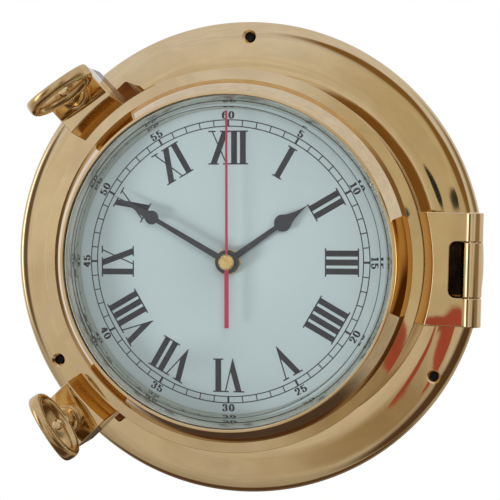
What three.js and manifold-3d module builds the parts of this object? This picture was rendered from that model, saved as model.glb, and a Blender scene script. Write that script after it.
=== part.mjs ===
// Porthole clock: a cast brass wall frame, a hinged bezel door with two ring-headed
// dog screws, a printed dial, three hands and a battery movement.
// While it is built, x is right, y is up and z comes forward from the wall at z = 0.
// The finished group is turned so that z is up and the face looks along -y.

import * as THREE from 'three';
import { mergeVertices } from 'three/addons/utils/BufferGeometryUtils.js';
import Module from 'manifold-3d';

const wasm = await Module();
wasm.setup();

// Driving dimensions, in millimetres and degrees

// Shared clearances
const FIT = 0.3; // between pieces that seat on or in each other
const DOOR_PLAY = 1.0; // round the screw tips, so that the door can swing past them
const WELD = 1e-4; // vertices closer than this are one vertex

// Wall flange and drum
const FLANGE_WIDTH = 27; // from the drum out to the rim
const FLANGE_THICKNESS = 5;
const FLANGE_ROUND = 1.8; // rounding of the rim
const DRUM_WALL = 4;
const DRUM_FILLET = 1.5; // cove between drum and flange
const RIM_OVERHANG = 0.2; // the door's rim stands this far outside the drum
const HOLE_INSET = 7.3; // fixing holes, from the rim inwards
const HOLE_RADIUS = 2.2;
const SINK_RADIUS = 3.3;
const SINK_DEPTH = 1.2;
const HOLE_COUNT = 3;
const HOLE_START = 90;

// Dial and the parts round its edge
const DIAL_DEPTH = 45; // the dial's face, from the wall
const DIAL_THICKNESS = 0.8;
const DIAL_TURN = 1.4; // the dial sits this far round from upright
const DIAL_INSET = 0.7; // the dial's edge, inside the window's radius
const SEAT_INSET = 6.2; // the ledge's inner edge, inside the window's radius
const SEAT_THICKNESS = 5;
const COLLAR_WALL = 2.4; // rim of the ledge, round the dial
const RING_FOOT_INSET = 5.5; // dial ring at the dial, inside the window's radius
const RING_FLARE = 2.5; // how far the ring opens towards the glass
const RING_WALL = 1.6;
const RING_FOOT_HEIGHT = 1.4;
const DIAL_SCREW_RADIUS = 0.9;
const DIAL_SCREW_HEAD = 1.8;
const DIAL_SCREW_HEAD_HEIGHT = 1.2;
const DIAL_SCREW_COUNT = 3;
const DIAL_SCREW_START = 30;

// Bezel door: a ring in three steps, seen from its window outwards
const WINDOW_RADIUS = 75.2;
const LIP_FLAT = 1.4;
const LIP_THICKNESS = 1.2;
const CONE_RUN = 4.2;
const CONE_RISE = 6.5;
const SHOULDER_RUN = 7.4; // stepped shoulder, from the cone's foot out to the rim
const LEDGE_RUN = 4.8; // the step's flat ledge, in from the rim
const LEDGE_RISE = 0.8;
const RIM_HEIGHT = 3;
const PARTING_DROP = 4.5; // the door's back, behind the dial's face
const GLASS_THICKNESS = 1.5;
const GLASS_LAP = 1.0; // how far the glass reaches behind the lip
const GLASS_GASKET = 0.4;
const GLASS_AIR = 1.8; // between the hands' cap and the glass
const RETAINER_FOOT_INSET = 2.6; // ring behind the glass: its back edge, inside the window's radius
const RETAINER_TOP_INSET = 0.4; // and its front edge
const RETAINER_HEIGHT = 3.2;
const RETAINER_BITE = 1.4; // the ring's seat, outside the glass's bore
const RETAINER_LAND = 1.7; // length of the seat behind the ring
const DOOR_SWING_ROOM = 2.1; // between the ledge's rim and the door's inside
const CASE_GASKET_WIDTH = 2.4;
const CASE_GASKET_HEIGHT = 1.8;
const CASE_GASKET_INSET = 5.4; // groove, from the drum's outside

// Ears and frame lugs for the dog screws
const EAR_ANGLES = { upper: 134, lower: 226 };
const EAR_WIDTH = 25;
const EAR_REACH = 22.8; // past the door's rim
const EAR_SETBACK = 0.5; // ear face behind the lip
const EAR_SLOPE = 3.8; // run of the sloping inner wall
const LUG_THICKNESS = 10.2;
const LUG_TAPER = 6;

// Hinge
const PLATE_HEIGHT = 50;
const PLATE_SETBACK = 2; // plate face behind the lip
const PLATE_BITE = 1.5; // how far the plate runs into its knuckles
const HINGE_REACH = 21.3; // pin axis, past the door's rim
const HINGE_SINK = 2.5; // pin axis, behind the plate's face
const KNUCKLE_RADIUS = 4.5;
const KNUCKLE_MIDDLE = 24; // length of the frame's knuckle
const NOTCH_ROOM = 5.4; // open gap beside the middle knuckle
const NOTCH_ROUND = 3;
const HINGE_WEB = 7;
const PIN_RADIUS = 2;
const PIN_PROUD = 0.4;
const ARM_TAPER = 10;

// Ring-headed dog screws
const SCREW_REACH = 15.8; // screw axis, past the door's rim
const SCREW_RADIUS = 3.8;
const SCREW_TIP_RADIUS = 3.2;
const SCREW_TIP_INSET = 1.5; // tip, inside the back of the frame's lug
const SCREW_CHAMFER = 0.8;
const SCREW_TAIL_RADIUS = 2.5; // turned-down end, peened over in the eye
const SCREW_TAIL_PROUD = 0.9;
const SCREW_TRAVEL = 9;
const CLIP_GROOVE_RADIUS = 2.6;
const CLIP_THICKNESS = 0.6;
const CLIP_RADIUS = 5.6;
const CLIP_MOUTH = 4.4;
const WASHER_RADIUS = 7;
const WASHER_THICKNESS = 1;
const HUB_BASE_RADIUS = 6.5;
const HUB_NECK_RADIUS = 5.2;
const HUB_HEIGHT = 7;
const HUB_BITE = 3; // how far the screw's full shank enters the hub
const EYE_WIDTH = 24;
const EYE_HEIGHT = 12;
const EYE_WALL = 4.5;
const RING_BREADTH = 9.6; // at the ring's floor
const RING_TOP_BREADTH = 5.6; // at the top of its arch
const RING_EDGE = 2.0; // rounding of the ring's edges
const RING_TURNS = { upper: -8.6, lower: -11.3 };

// Hands, by height above the dial
const NUT_FLATS = 10.8;
const NUT_THICKNESS = 1.1;
const HAND_THICKNESS = 0.5;
const HAND_SPACE = 0.7;
const SECOND_THICKNESS = 0.4;
const CAP_RADIUS = 3.65;
const CAP_HEIGHT = 1.2;
const CAP_STEPS = [[1, 0.33], [0.8, 0.8], [0.4, 1]]; // dome, as shares of radius and height
const HOUR_HAND = {
  clock: 55, length: 45, bulbAt: 30, bulb: 3.9, hub: 4.6, root: 1.45, neck: 1.1, tip: 1.1,
};
const MINUTE_HAND = {
  clock: 300, length: 61, bulbAt: 40.5, bulb: 3.2, hub: 5.5, root: 1.4, neck: 1.05, tip: 1.0,
};
const TIP_PULL = 1.6; // where a hand's tip draws in, in bulb radii from the bulb's centre
const SECOND_HAND = { clock: 0, length: 68.6, tail: 30, hub: 2.6, front: 0.6, end: 0.5, back: 1.0 };

// Battery movement
const CASE_SIZE = 56;
const CASE_DEPTH = 15.7;
const CASE_WALL = 1.5;
const CASE_ROUND = 3;
const COVER_THICKNESS = 1.5;
const BAY_WIDTH = 16;
const BAY_WALL = 1;
const BATTERY_RADIUS = 7.25;
const BATTERY_LENGTH = 49;
const BATTERY_NUB_RADIUS = 2.6;
const BATTERY_NUB = 1.4;
const CONTACT_THICKNESS = 0.4;
const CONTACT_WIDTH = 9;
const WASHER_RUBBER_RADIUS = 8;
const WASHER_RUBBER_THICKNESS = 0.5;
const PIPE_WALL = 0.7;
const SECOND_ARBOR_RADIUS = 0.5;
const BUSH_WALL = 1;
const BUSH_FLANGE_RADIUS = 5.6;
const BUSH_FLANGE = 1;
const TRAIN_DISTANCE = 8; // motion wheel's arbor, from the hands' axis
const TRAIN_WHEEL_HEIGHT = 1;
const TRAIN_LEVEL = 2.5; // from one pair of wheels to the next
const CANNON_TEETH = 8;
const MOTION_WHEEL_TEETH = 24;
const MOTION_PINION_TEETH = 8;
const HOUR_TEETH = 32;
const TOOTH_HEIGHT = 0.3; // above the pitch circle
const TOOTH_ROOT = 0.42; // below the pitch circle
const TOOTH_FOOT = 0.66; // thickness at the root
const TOOTH_TIP = 0.3;
const SECOND_WHEEL_RADIUS = 4.4;
const MOTION_ARBOR_RADIUS = 0.8;
const KNOB_RADIUS = 4.5;
const KNOB_HEIGHT = 3.2;
const KNOB_LOBES = 10;
const KNOB_LOBE_DEPTH = 0.5;
const BOARD_HEIGHT = 30;
const BOARD_THICKNESS = 1;
const COIL_RADIUS = 3.4;
const COIL_LENGTH = 20;
const COIL_CHEEK = 1;
const COIL_WIRE_STEP = 0.7; // winding below the bobbin's cheeks
const COIL_AXIS = 19; // above the hands' axis
const STATOR_WIDTH = 2.4;
const STATOR_THICKNESS = 1;
const STATOR_LEG = 10;
const POST_RADIUS = 1.2;

// How finely round forms are faceted
const SIDES = { casting: 60, ring: 44, small: 16, tiny: 10 };
const CURVE_STEPS = 5;
const EYE_STEPS = 9;
const EDGE_STEPS = 2;
const COVE_STEPS = 3;

// Sizes that follow from those above
const TURN = 360;
const radians = THREE.MathUtils.degToRad;

const coneFoot = WINDOW_RADIUS + LIP_FLAT + CONE_RUN;
const rimRadius = coneFoot + SHOULDER_RUN;
const drumRadius = rimRadius - RIM_OVERHANG;
const drumBore = drumRadius - DRUM_WALL;
const flangeRadius = drumRadius + FLANGE_WIDTH;

const partingDepth = DIAL_DEPTH - PARTING_DROP;
const frameFront = partingDepth - FIT;
const creaseDepth = partingDepth + RIM_HEIGHT;
const dialBack = DIAL_DEPTH - DIAL_THICKNESS;
const dialRadius = WINDOW_RADIUS - DIAL_INSET;
const ledgeFront = dialBack - FIT;
const ledgeBack = ledgeFront - SEAT_THICKNESS;
const collarInner = dialRadius + FIT;
const collarOuter = collarInner + COLLAR_WALL;

const nutBack = DIAL_DEPTH + FIT;
const nutFront = nutBack + NUT_THICKNESS;
const hourBack = nutFront + FIT;
const hourFront = hourBack + HAND_THICKNESS;
const minuteBack = hourFront + HAND_SPACE;
const minuteFront = minuteBack + HAND_THICKNESS;
const secondBack = minuteFront + HAND_SPACE;
const secondFront = secondBack + SECOND_THICKNESS;
const capBack = secondFront + FIT;
const capFront = capBack + CAP_HEIGHT;

const glassBack = capFront + GLASS_AIR;
const glassFront = glassBack + GLASS_THICKNESS;
const glassRadius = WINDOW_RADIUS + GLASS_LAP;
const glassBore = glassRadius + FIT;
const gasketBack = glassFront + FIT;
const lipBack = gasketBack + GLASS_GASKET + FIT;
const lipFront = lipBack + LIP_THICKNESS;
const coneFootDepth = lipFront - CONE_RISE;
const retainerFront = glassBack - FIT;
const retainerBack = retainerFront - RETAINER_HEIGHT;
const retainerSeat = glassBore + RETAINER_BITE;
const landBack = retainerBack - RETAINER_LAND;
const doorBore = collarOuter + DOOR_SWING_ROOM;

const earFront = lipFront - EAR_SETBACK;
const earEnd = rimRadius + EAR_REACH;
const lugBack = frameFront - LUG_THICKNESS;
const screwCircle = rimRadius + SCREW_REACH;

const plateFront = lipFront - PLATE_SETBACK;
const hingeX = rimRadius + HINGE_REACH;
const hingeDepth = plateFront - HINGE_SINK;
const knuckleInner = hingeX - KNUCKLE_RADIUS;
const plateEdge = knuckleInner + PLATE_BITE;
const notchX = knuckleInner - NOTCH_ROOM;
const plateHalf = PLATE_HEIGHT / 2;
const middleHalf = KNUCKLE_MIDDLE / 2;

// Geometry helpers

function weld(geometry) {
  const bare = geometry.index ? geometry.toNonIndexed() : geometry.clone();
  for (const name of Object.keys(bare.attributes)) {
    if (name !== 'position') bare.deleteAttribute(name);
  }
  const merged = mergeVertices(bare, WELD);
  const kept = [];
  const index = merged.index.array;
  for (let i = 0; i < index.length; i += 3) {
    const [a, b, c] = [index[i], index[i + 1], index[i + 2]];
    if (a !== b && b !== c && c !== a) kept.push(a, b, c);
  }
  merged.setIndex(kept);
  return faceOutwards(merged);
}

function faceOutwards(geometry) {
  const index = Array.from(geometry.index.array);
  const corners = [new THREE.Vector3(), new THREE.Vector3(), new THREE.Vector3()];
  let volume = 0;
  for (let i = 0; i < index.length; i += 3) {
    corners.forEach((corner, k) => {
      corner.fromBufferAttribute(geometry.attributes.position, index[i + k]);
    });
    volume += corners[0].dot(corners[1].cross(corners[2]));
  }
  if (volume < 0) {
    for (let i = 0; i < index.length; i += 3) {
      [index[i + 1], index[i + 2]] = [index[i + 2], index[i + 1]];
    }
    geometry.setIndex(index);
  }
  return geometry;
}

function toSolid(geometry) {
  const welded = weld(geometry);
  const vertProperties = new Float32Array(welded.attributes.position.array);
  const triVerts = new Uint32Array(welded.index.array);
  return new wasm.Manifold(new wasm.Mesh({ numProp: 3, vertProperties, triVerts }));
}

function toGeometry(solid) {
  const mesh = solid.getMesh();
  const geometry = new THREE.BufferGeometry();
  geometry.setAttribute('position', new THREE.BufferAttribute(new Float32Array(mesh.vertProperties), 3));
  geometry.setIndex(Array.from(mesh.triVerts));
  return geometry;
}

// Joins and then cuts closed forms
function carve(base, { join = [], cut = [] }) {
  let solid = toSolid(base);
  for (const geometry of join) solid = solid.add(toSolid(geometry));
  for (const geometry of cut) solid = solid.subtract(toSolid(geometry));
  return toGeometry(solid);
}

// Turned form about z, from [radius, depth] points; a ring's outline closes on itself
function turned(outline, sides) {
  const points = outline.map(([radius, depth]) => new THREE.Vector2(radius, depth));
  if (outline.every(([radius]) => radius > 0)) points.push(points[0].clone());
  return weld(new THREE.LatheGeometry(points, sides).rotateX(Math.PI / 2));
}

function ring(inner, outer, back, front, sides) {
  return turned([[inner, back], [outer, back], [outer, front], [inner, front]], sides);
}

function rod(radius, back, front, sides) {
  return turned([[0, back], [radius, back], [radius, front], [0, front]], sides);
}

// A flat outline in x and y, raised from one depth to another
function raised(shape, back, front) {
  const options = { depth: front - back, bevelEnabled: false, curveSegments: CURVE_STEPS };
  return weld(new THREE.ExtrudeGeometry(shape, options).translate(0, 0, back));
}

// An outline in radius and depth, as wide as given, standing out at an angle
function radialRib(outline, width, angle) {
  const shape = new THREE.Shape(outline.map(([radius, depth]) => new THREE.Vector2(radius, depth)));
  const rib = new THREE.ExtrudeGeometry(shape, { depth: width, bevelEnabled: false });
  return weld(rib.rotateX(Math.PI / 2).translate(0, width / 2, 0).rotateZ(radians(angle)));
}

function rectangle(x0, y0, x1, y1, round = 0) {
  const shape = new THREE.Shape();
  if (round === 0) {
    shape.setFromPoints([[x0, y0], [x1, y0], [x1, y1], [x0, y1]].map(([x, y]) => new THREE.Vector2(x, y)));
    return shape;
  }
  shape.absarc(x1 - round, y0 + round, round, -Math.PI / 2, 0);
  shape.absarc(x1 - round, y1 - round, round, 0, Math.PI / 2);
  shape.absarc(x0 + round, y1 - round, round, Math.PI / 2, Math.PI);
  shape.absarc(x0 + round, y0 + round, round, Math.PI, 1.5 * Math.PI);
  return shape;
}

function circle(radius, x = 0, y = 0) {
  const path = new THREE.Shape();
  path.absarc(x, y, radius, 0, 2 * Math.PI);
  return path;
}

// Quarter-round points from one angle to another
function arc(centreRadius, centreDepth, radius, from, to, steps) {
  return Array.from({ length: steps + 1 }, (_, i) => {
    const angle = radians(from + ((to - from) * i) / steps);
    return [centreRadius + radius * Math.cos(angle), centreDepth + radius * Math.sin(angle)];
  });
}

function atAngle(geometry, radius, angle) {
  return geometry.translate(radius * Math.cos(radians(angle)), radius * Math.sin(radians(angle)), 0);
}

function evenAngles(count, start) {
  return Array.from({ length: count }, (_, i) => start + (TURN * i) / count);
}

// Finishes
const FINISH = {
  brass: { color: 0xc8a765, roughness: 0.16, metalness: 1 },
  goldBrass: { color: 0xc9983f, roughness: 0.25, metalness: 1 },
  steel: { color: 0xb4b6b8, roughness: 0.35, metalness: 1 },
  copper: { color: 0xb06a3a, roughness: 0.45, metalness: 1 },
  dial: { color: 0xdfe8ea, roughness: 0.5, metalness: 0 },
  black: { color: 0x18181b, roughness: 0.4, metalness: 0 },
  red: { color: 0xb01f3c, roughness: 0.4, metalness: 0 },
  glass: { color: 0xf2f7f8, roughness: 0.02, metalness: 0, transparent: true, opacity: 0.2 },
  rubber: { color: 0x141414, roughness: 0.8, metalness: 0 },
  plastic: { color: 0x24262a, roughness: 0.55, metalness: 0 },
  palePlastic: { color: 0xd8d6cf, roughness: 0.5, metalness: 0 },
  board: { color: 0x2f6b3c, roughness: 0.6, metalness: 0 },
  battery: { color: 0x3a4a66, roughness: 0.35, metalness: 0 },
};

const clock = new THREE.Group();

function piece(name, geometry, finish, parent = clock) {
  const mesh = new THREE.Mesh(geometry, new THREE.MeshStandardMaterial(FINISH[finish]));
  mesh.name = name;
  parent.add(mesh);
  return mesh;
}

// Frame casting: flange, drum, dial ledge, dog lugs, hinge arm and middle knuckle

function frameBody() {
  const grooveOuter = drumRadius - CASE_GASKET_INSET + CASE_GASKET_WIDTH + FIT;
  const grooveInner = drumRadius - CASE_GASKET_INSET - FIT;
  const grooveFloor = frameFront - CASE_GASKET_HEIGHT - FIT;
  return turned([
    [drumBore, 0],
    [flangeRadius - FLANGE_ROUND, 0],
    ...arc(flangeRadius - FLANGE_ROUND, FLANGE_ROUND, FLANGE_ROUND, -45, 0, EDGE_STEPS - 1),
    ...arc(flangeRadius - FLANGE_ROUND, FLANGE_THICKNESS - FLANGE_ROUND, FLANGE_ROUND, 0, 90, EDGE_STEPS),
    ...arc(drumRadius + DRUM_FILLET, FLANGE_THICKNESS + DRUM_FILLET, DRUM_FILLET, 270, 180, COVE_STEPS),
    [drumRadius, frameFront],
    [grooveOuter, frameFront],
    [grooveOuter, grooveFloor],
    [grooveInner, grooveFloor],
    [grooveInner, frameFront],
    [collarOuter, frameFront],
    [collarOuter, DIAL_DEPTH],
    [collarInner, DIAL_DEPTH],
    [collarInner, ledgeFront],
    [WINDOW_RADIUS - SEAT_INSET, ledgeFront],
    [WINDOW_RADIUS - SEAT_INSET, ledgeBack],
    [collarOuter, ledgeBack],
    [drumBore, ledgeBack - DRUM_WALL],
  ], SIDES.casting);
}

function fixingHole() {
  return turned([
    [0, -FIT],
    [HOLE_RADIUS, -FIT],
    [HOLE_RADIUS, FLANGE_THICKNESS - SINK_DEPTH],
    [SINK_RADIUS, FLANGE_THICKNESS],
    [SINK_RADIUS, FLANGE_THICKNESS + FIT],
    [0, FLANGE_THICKNESS + FIT],
  ], SIDES.small);
}

const rootRadius = drumRadius - DRUM_WALL / 2; // where ribs and lugs are buried in the drum's wall

function frameLug(angle) {
  return radialRib([
    [rootRadius, lugBack - LUG_TAPER],
    [earEnd, lugBack],
    [earEnd, frameFront],
    [rootRadius, frameFront],
  ], EAR_WIDTH, angle);
}

function hingeArm() {
  return radialRib([
    [rootRadius, lugBack - LUG_TAPER],
    [knuckleInner, lugBack],
    [hingeX + KNUCKLE_RADIUS, lugBack + ARM_TAPER],
    ...arc(hingeX, hingeDepth, KNUCKLE_RADIUS, 0, 180, CURVE_STEPS),
    [knuckleInner, frameFront],
    [rootRadius, frameFront],
  ], KNUCKLE_MIDDLE, 0);
}

// A rod along the hinge's axis
function hingeRod(radius, low, high, sides) {
  return rod(radius, low, high, sides).rotateX(-Math.PI / 2).translate(hingeX, 0, hingeDepth);
}

const pinBore = () => hingeRod(PIN_RADIUS + FIT, -PLATE_HEIGHT, PLATE_HEIGHT, SIDES.tiny);
const tipBore = () => rod(SCREW_TIP_RADIUS + DOOR_PLAY, FLANGE_THICKNESS + FIT, DIAL_DEPTH, SIDES.small);
const earAngles = Object.values(EAR_ANGLES);
const dialScrewAngles = evenAngles(DIAL_SCREW_COUNT, DIAL_SCREW_START);
const dialScrewCircle = (WINDOW_RADIUS - RING_FOOT_INSET + dialRadius) / 2;
const dialScrewHole = (back, front) => dialScrewAngles.map((angle) =>
  atAngle(rod(DIAL_SCREW_RADIUS + FIT, back, front, SIDES.tiny), dialScrewCircle, angle));

const holeCircle = flangeRadius - HOLE_INSET;
const holeAngles = evenAngles(HOLE_COUNT, HOLE_START);

piece('frame_casting', carve(frameBody(), {
  join: [...earAngles.map(frameLug), hingeArm()],
  cut: [
    ...holeAngles.map((angle) => atAngle(fixingHole(), holeCircle, angle)),
    ...earAngles.map((angle) => atAngle(tipBore(), screwCircle, angle)),
    ...dialScrewHole(0, DIAL_DEPTH),
    pinBore(),
  ],
}), 'brass');

const caseGasketInner = drumRadius - CASE_GASKET_INSET;
piece('case_gasket', ring(caseGasketInner, caseGasketInner + CASE_GASKET_WIDTH,
  frameFront - CASE_GASKET_HEIGHT, frameFront, SIDES.ring), 'rubber');

// Dial, dial ring and the screws that hold both to the ledge

const pipeRadius = {
  minuteBore: SECOND_ARBOR_RADIUS + FIT,
  minute: SECOND_ARBOR_RADIUS + FIT + PIPE_WALL,
  hourBore: SECOND_ARBOR_RADIUS + 2 * FIT + PIPE_WALL,
  hour: SECOND_ARBOR_RADIUS + 2 * FIT + 2 * PIPE_WALL,
};
const bushBore = pipeRadius.hour + FIT;
const bushRadius = bushBore + BUSH_WALL;

const ringFoot = WINDOW_RADIUS - RING_FOOT_INSET;
const ringBack = DIAL_DEPTH + FIT;
const ringFront = retainerBack - FIT;
const ringTop = ringFoot + RING_FLARE;

piece('dial', carve(ring(bushRadius + FIT, dialRadius, dialBack, DIAL_DEPTH, SIDES.ring), {
  cut: dialScrewHole(0, lipFront),
}), 'dial');

const screwTip = ringBack + RING_FOOT_HEIGHT / 2;
piece('dial_ring', carve(turned([
  [ringFoot, ringBack],
  [dialRadius, ringBack],
  [dialRadius, ringBack + RING_FOOT_HEIGHT],
  [ringTop + RING_WALL, ringBack + RING_FOOT_HEIGHT],
  [ringTop + RING_WALL, ringFront],
  [ringTop, ringFront],
], SIDES.ring), { cut: dialScrewHole(0, screwTip + FIT) }), 'steel');

dialScrewAngles.forEach((angle, i) => {
  const headFront = ledgeBack - FIT;
  piece(`dial_screw_${i + 1}`, atAngle(turned([
    [0, headFront - DIAL_SCREW_HEAD_HEIGHT],
    [DIAL_SCREW_HEAD, headFront - DIAL_SCREW_HEAD_HEIGHT],
    [DIAL_SCREW_HEAD, headFront],
    [DIAL_SCREW_RADIUS, headFront],
    [DIAL_SCREW_RADIUS, screwTip],
    [0, screwTip],
  ], SIDES.tiny), dialScrewCircle, angle), 'steel');
});

// Bezel door: stepped ring, hinge plate with two knuckles, two ears

function bezelRing() {
  return turned([
    [doorBore, partingDepth],
    [rimRadius, partingDepth],
    [rimRadius, creaseDepth],
    [rimRadius - LEDGE_RUN, creaseDepth + LEDGE_RISE],
    [coneFoot, coneFootDepth],
    [WINDOW_RADIUS + LIP_FLAT, lipFront],
    [WINDOW_RADIUS, lipFront],
    [WINDOW_RADIUS, lipBack],
    [glassBore, lipBack],
    [glassBore, glassBack],
    [retainerSeat, glassBack],
    [retainerSeat, landBack],
    [doorBore, landBack],
  ], SIDES.casting);
}

// The hollow that gives plate and ears their sloping inner wall
function slopeCutter() {
  const rise = earFront - creaseDepth;
  return turned([
    [0, creaseDepth],
    [rimRadius, creaseDepth],
    [rimRadius + 2 * EAR_SLOPE, creaseDepth + 2 * rise],
    [0, creaseDepth + 2 * rise],
  ], SIDES.casting);
}

function platePlan() {
  const shape = new THREE.Shape();
  const mouth = middleHalf + FIT;
  const root = Math.sqrt(rimRadius ** 2 - plateHalf ** 2) - DRUM_WALL / 2;
  shape.moveTo(root, -plateHalf);
  shape.lineTo(plateEdge, -plateHalf);
  shape.lineTo(plateEdge, -mouth);
  shape.absarc(notchX + NOTCH_ROUND, -mouth + NOTCH_ROUND, NOTCH_ROUND, -Math.PI / 2, -Math.PI, true);
  shape.absarc(notchX + NOTCH_ROUND, mouth - NOTCH_ROUND, NOTCH_ROUND, Math.PI, Math.PI / 2, true);
  shape.lineTo(plateEdge, mouth);
  shape.lineTo(plateEdge, plateHalf);
  shape.lineTo(root, plateHalf);
  return shape;
}

function doorKnuckle(low, high) {
  const web = rectangle(knuckleInner - FIT, low, hingeX, high);
  return [
    hingeRod(KNUCKLE_RADIUS, low, high, SIDES.small),
    raised(web, hingeDepth - HINGE_WEB, hingeDepth),
  ];
}

function ear(angle) {
  return radialRib([
    [rootRadius, partingDepth],
    [earEnd, partingDepth],
    [earEnd, earFront],
    [rootRadius, earFront],
  ], EAR_WIDTH, angle);
}

const clipPocketFront = partingDepth + SCREW_TRAVEL + CLIP_THICKNESS + 4 * FIT;

function earBores(angle) {
  return [
    atAngle(rod(SCREW_RADIUS + FIT, 0, 2 * lipFront, SIDES.small), screwCircle, angle),
    atAngle(rod(CLIP_RADIUS + FIT, 0, clipPocketFront, SIDES.small), screwCircle, angle),
  ];
}

function bezelBody() {
  const mouth = middleHalf + FIT;
  const lugs = carve(raised(platePlan(), partingDepth, plateFront), {
    join: [
      ...doorKnuckle(mouth, plateHalf),
      ...doorKnuckle(-plateHalf, -mouth),
      ...earAngles.map(ear),
    ],
    cut: [slopeCutter(), rod(doorBore, 0, 2 * lipFront, SIDES.casting)],
  });
  return carve(bezelRing(), { join: [lugs], cut: [pinBore(), ...earAngles.flatMap(earBores)] });
}

piece('bezel_casting', bezelBody(), 'brass');
piece('glass', rod(glassRadius, glassBack, glassFront, SIDES.ring), 'glass');
piece('glass_gasket', ring(WINDOW_RADIUS, glassRadius, gasketBack, gasketBack + GLASS_GASKET,
  SIDES.ring), 'rubber');

// The ring that holds the glass is screwed in from behind; the thread is left out
piece('glass_spring_ring', turned([
  [WINDOW_RADIUS - RETAINER_FOOT_INSET, retainerBack],
  [retainerSeat - FIT, retainerBack],
  [retainerSeat - FIT, retainerFront],
  [WINDOW_RADIUS - RETAINER_TOP_INSET, retainerFront],
], SIDES.ring), 'steel');

piece('hinge_pin', hingeRod(PIN_RADIUS, -plateHalf - PIN_PROUD, plateHalf + PIN_PROUD, SIDES.tiny), 'brass');

// Dog screws: each turns in its ear, with a washer, a ring head and a keeper clip

const washerBack = earFront + FIT;
const hubBack = washerBack + WASHER_THICKNESS + FIT;
const eyeBase = hubBack + HUB_HEIGHT; // underside of the ring, sunk into the hub by its wall
const eyeDepth = eyeBase + EYE_WALL + EYE_HEIGHT / 2 - FIT;
const shankEnd = hubBack + HUB_BITE;
const tailEnd = eyeDepth - EYE_HEIGHT / 2 + SCREW_TAIL_PROUD;
const clipBack = partingDepth + 2 * FIT;

function dogScrew() {
  const tip = lugBack + SCREW_TIP_INSET;
  return turned([
    [0, tip],
    [SCREW_TIP_RADIUS - SCREW_CHAMFER, tip],
    [SCREW_TIP_RADIUS, tip + SCREW_CHAMFER],
    [SCREW_TIP_RADIUS, clipBack - FIT],
    [CLIP_GROOVE_RADIUS, clipBack - FIT],
    [CLIP_GROOVE_RADIUS, clipBack + CLIP_THICKNESS + FIT],
    [SCREW_RADIUS, clipBack + CLIP_THICKNESS + FIT],
    [SCREW_RADIUS, shankEnd],
    [SCREW_TAIL_RADIUS, shankEnd],
    [SCREW_TAIL_RADIUS, tailEnd - SCREW_TAIL_PROUD],
    [SCREW_TAIL_RADIUS / 2, tailEnd],
    [0, tailEnd],
  ], SIDES.small);
}

// Draws the ring's breadth in from its floor to the top of its arch
function narrowed(geometry) {
  const corners = geometry.attributes.position;
  const floor = -EYE_HEIGHT / 2 - EYE_WALL;
  for (let i = 0; i < corners.count; i += 1) {
    const share = (corners.getY(i) - floor) / (-2 * floor);
    const breadth = THREE.MathUtils.lerp(RING_BREADTH, RING_TOP_BREADTH, share);
    corners.setZ(i, (corners.getZ(i) * breadth) / RING_BREADTH);
  }
  return geometry;
}

// The ring stands on edge: its eye is seen along the screw's radius
function dogRing(turn) {
  const outline = new THREE.Shape();
  const edge = EYE_WALL - RING_EDGE;
  outline.absellipse(0, 0, EYE_WIDTH / 2 + edge, EYE_HEIGHT / 2 + edge, 0, 2 * Math.PI);
  const eye = new THREE.Path();
  eye.absellipse(0, 0, EYE_WIDTH / 2 + RING_EDGE, EYE_HEIGHT / 2 + RING_EDGE, 0, 2 * Math.PI);
  outline.holes.push(eye);
  const flat = RING_BREADTH - 2 * RING_EDGE;
  const head = narrowed(new THREE.ExtrudeGeometry(outline, {
    depth: flat,
    bevelThickness: RING_EDGE,
    bevelSize: RING_EDGE,
    bevelSegments: EDGE_STEPS,
    curveSegments: EYE_STEPS,
  }).translate(0, 0, -flat / 2));
  head.rotateX(Math.PI / 2).rotateZ(radians(turn)).translate(0, 0, eyeDepth);
  const hub = turned([
    [0, hubBack],
    [HUB_BASE_RADIUS, hubBack],
    [HUB_NECK_RADIUS, eyeBase + EYE_WALL / 2],
    [0, eyeBase + EYE_WALL / 2],
  ], SIDES.small);
  const shankBore = rod(SCREW_RADIUS + FIT, 0, shankEnd + FIT, SIDES.small);
  const tailBore = rod(SCREW_TAIL_RADIUS + FIT, 0, eyeDepth, SIDES.small);
  return carve(hub, { join: [head], cut: [shankBore, tailBore] });
}

function keeperClip() {
  const mouth = rectangle(-CLIP_MOUTH / 2, 0, CLIP_MOUTH / 2, 2 * CLIP_RADIUS);
  const whole = ring(CLIP_GROOVE_RADIUS + FIT, CLIP_RADIUS, clipBack, clipBack + CLIP_THICKNESS,
    SIDES.small);
  return carve(whole, { cut: [raised(mouth, 0, 2 * clipBack)] });
}

for (const [side, angle] of Object.entries(EAR_ANGLES)) {
  const dog = new THREE.Group();
  dog.position.set(screwCircle * Math.cos(radians(angle)), screwCircle * Math.sin(radians(angle)), 0);
  dog.rotation.z = radians(angle - 90);
  clock.add(dog);
  piece(`dog_washer_${side}`, ring(SCREW_RADIUS + FIT, WASHER_RADIUS, washerBack,
    washerBack + WASHER_THICKNESS, SIDES.small), 'brass', dog);
  piece(`dog_screw_${side}`, dogScrew(), 'brass', dog);
  piece(`dog_ring_${side}`, dogRing(RING_TURNS[side]), 'brass', dog);
  piece(`dog_clip_${side}`, keeperClip(), 'steel', dog);
}

// Hands

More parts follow.
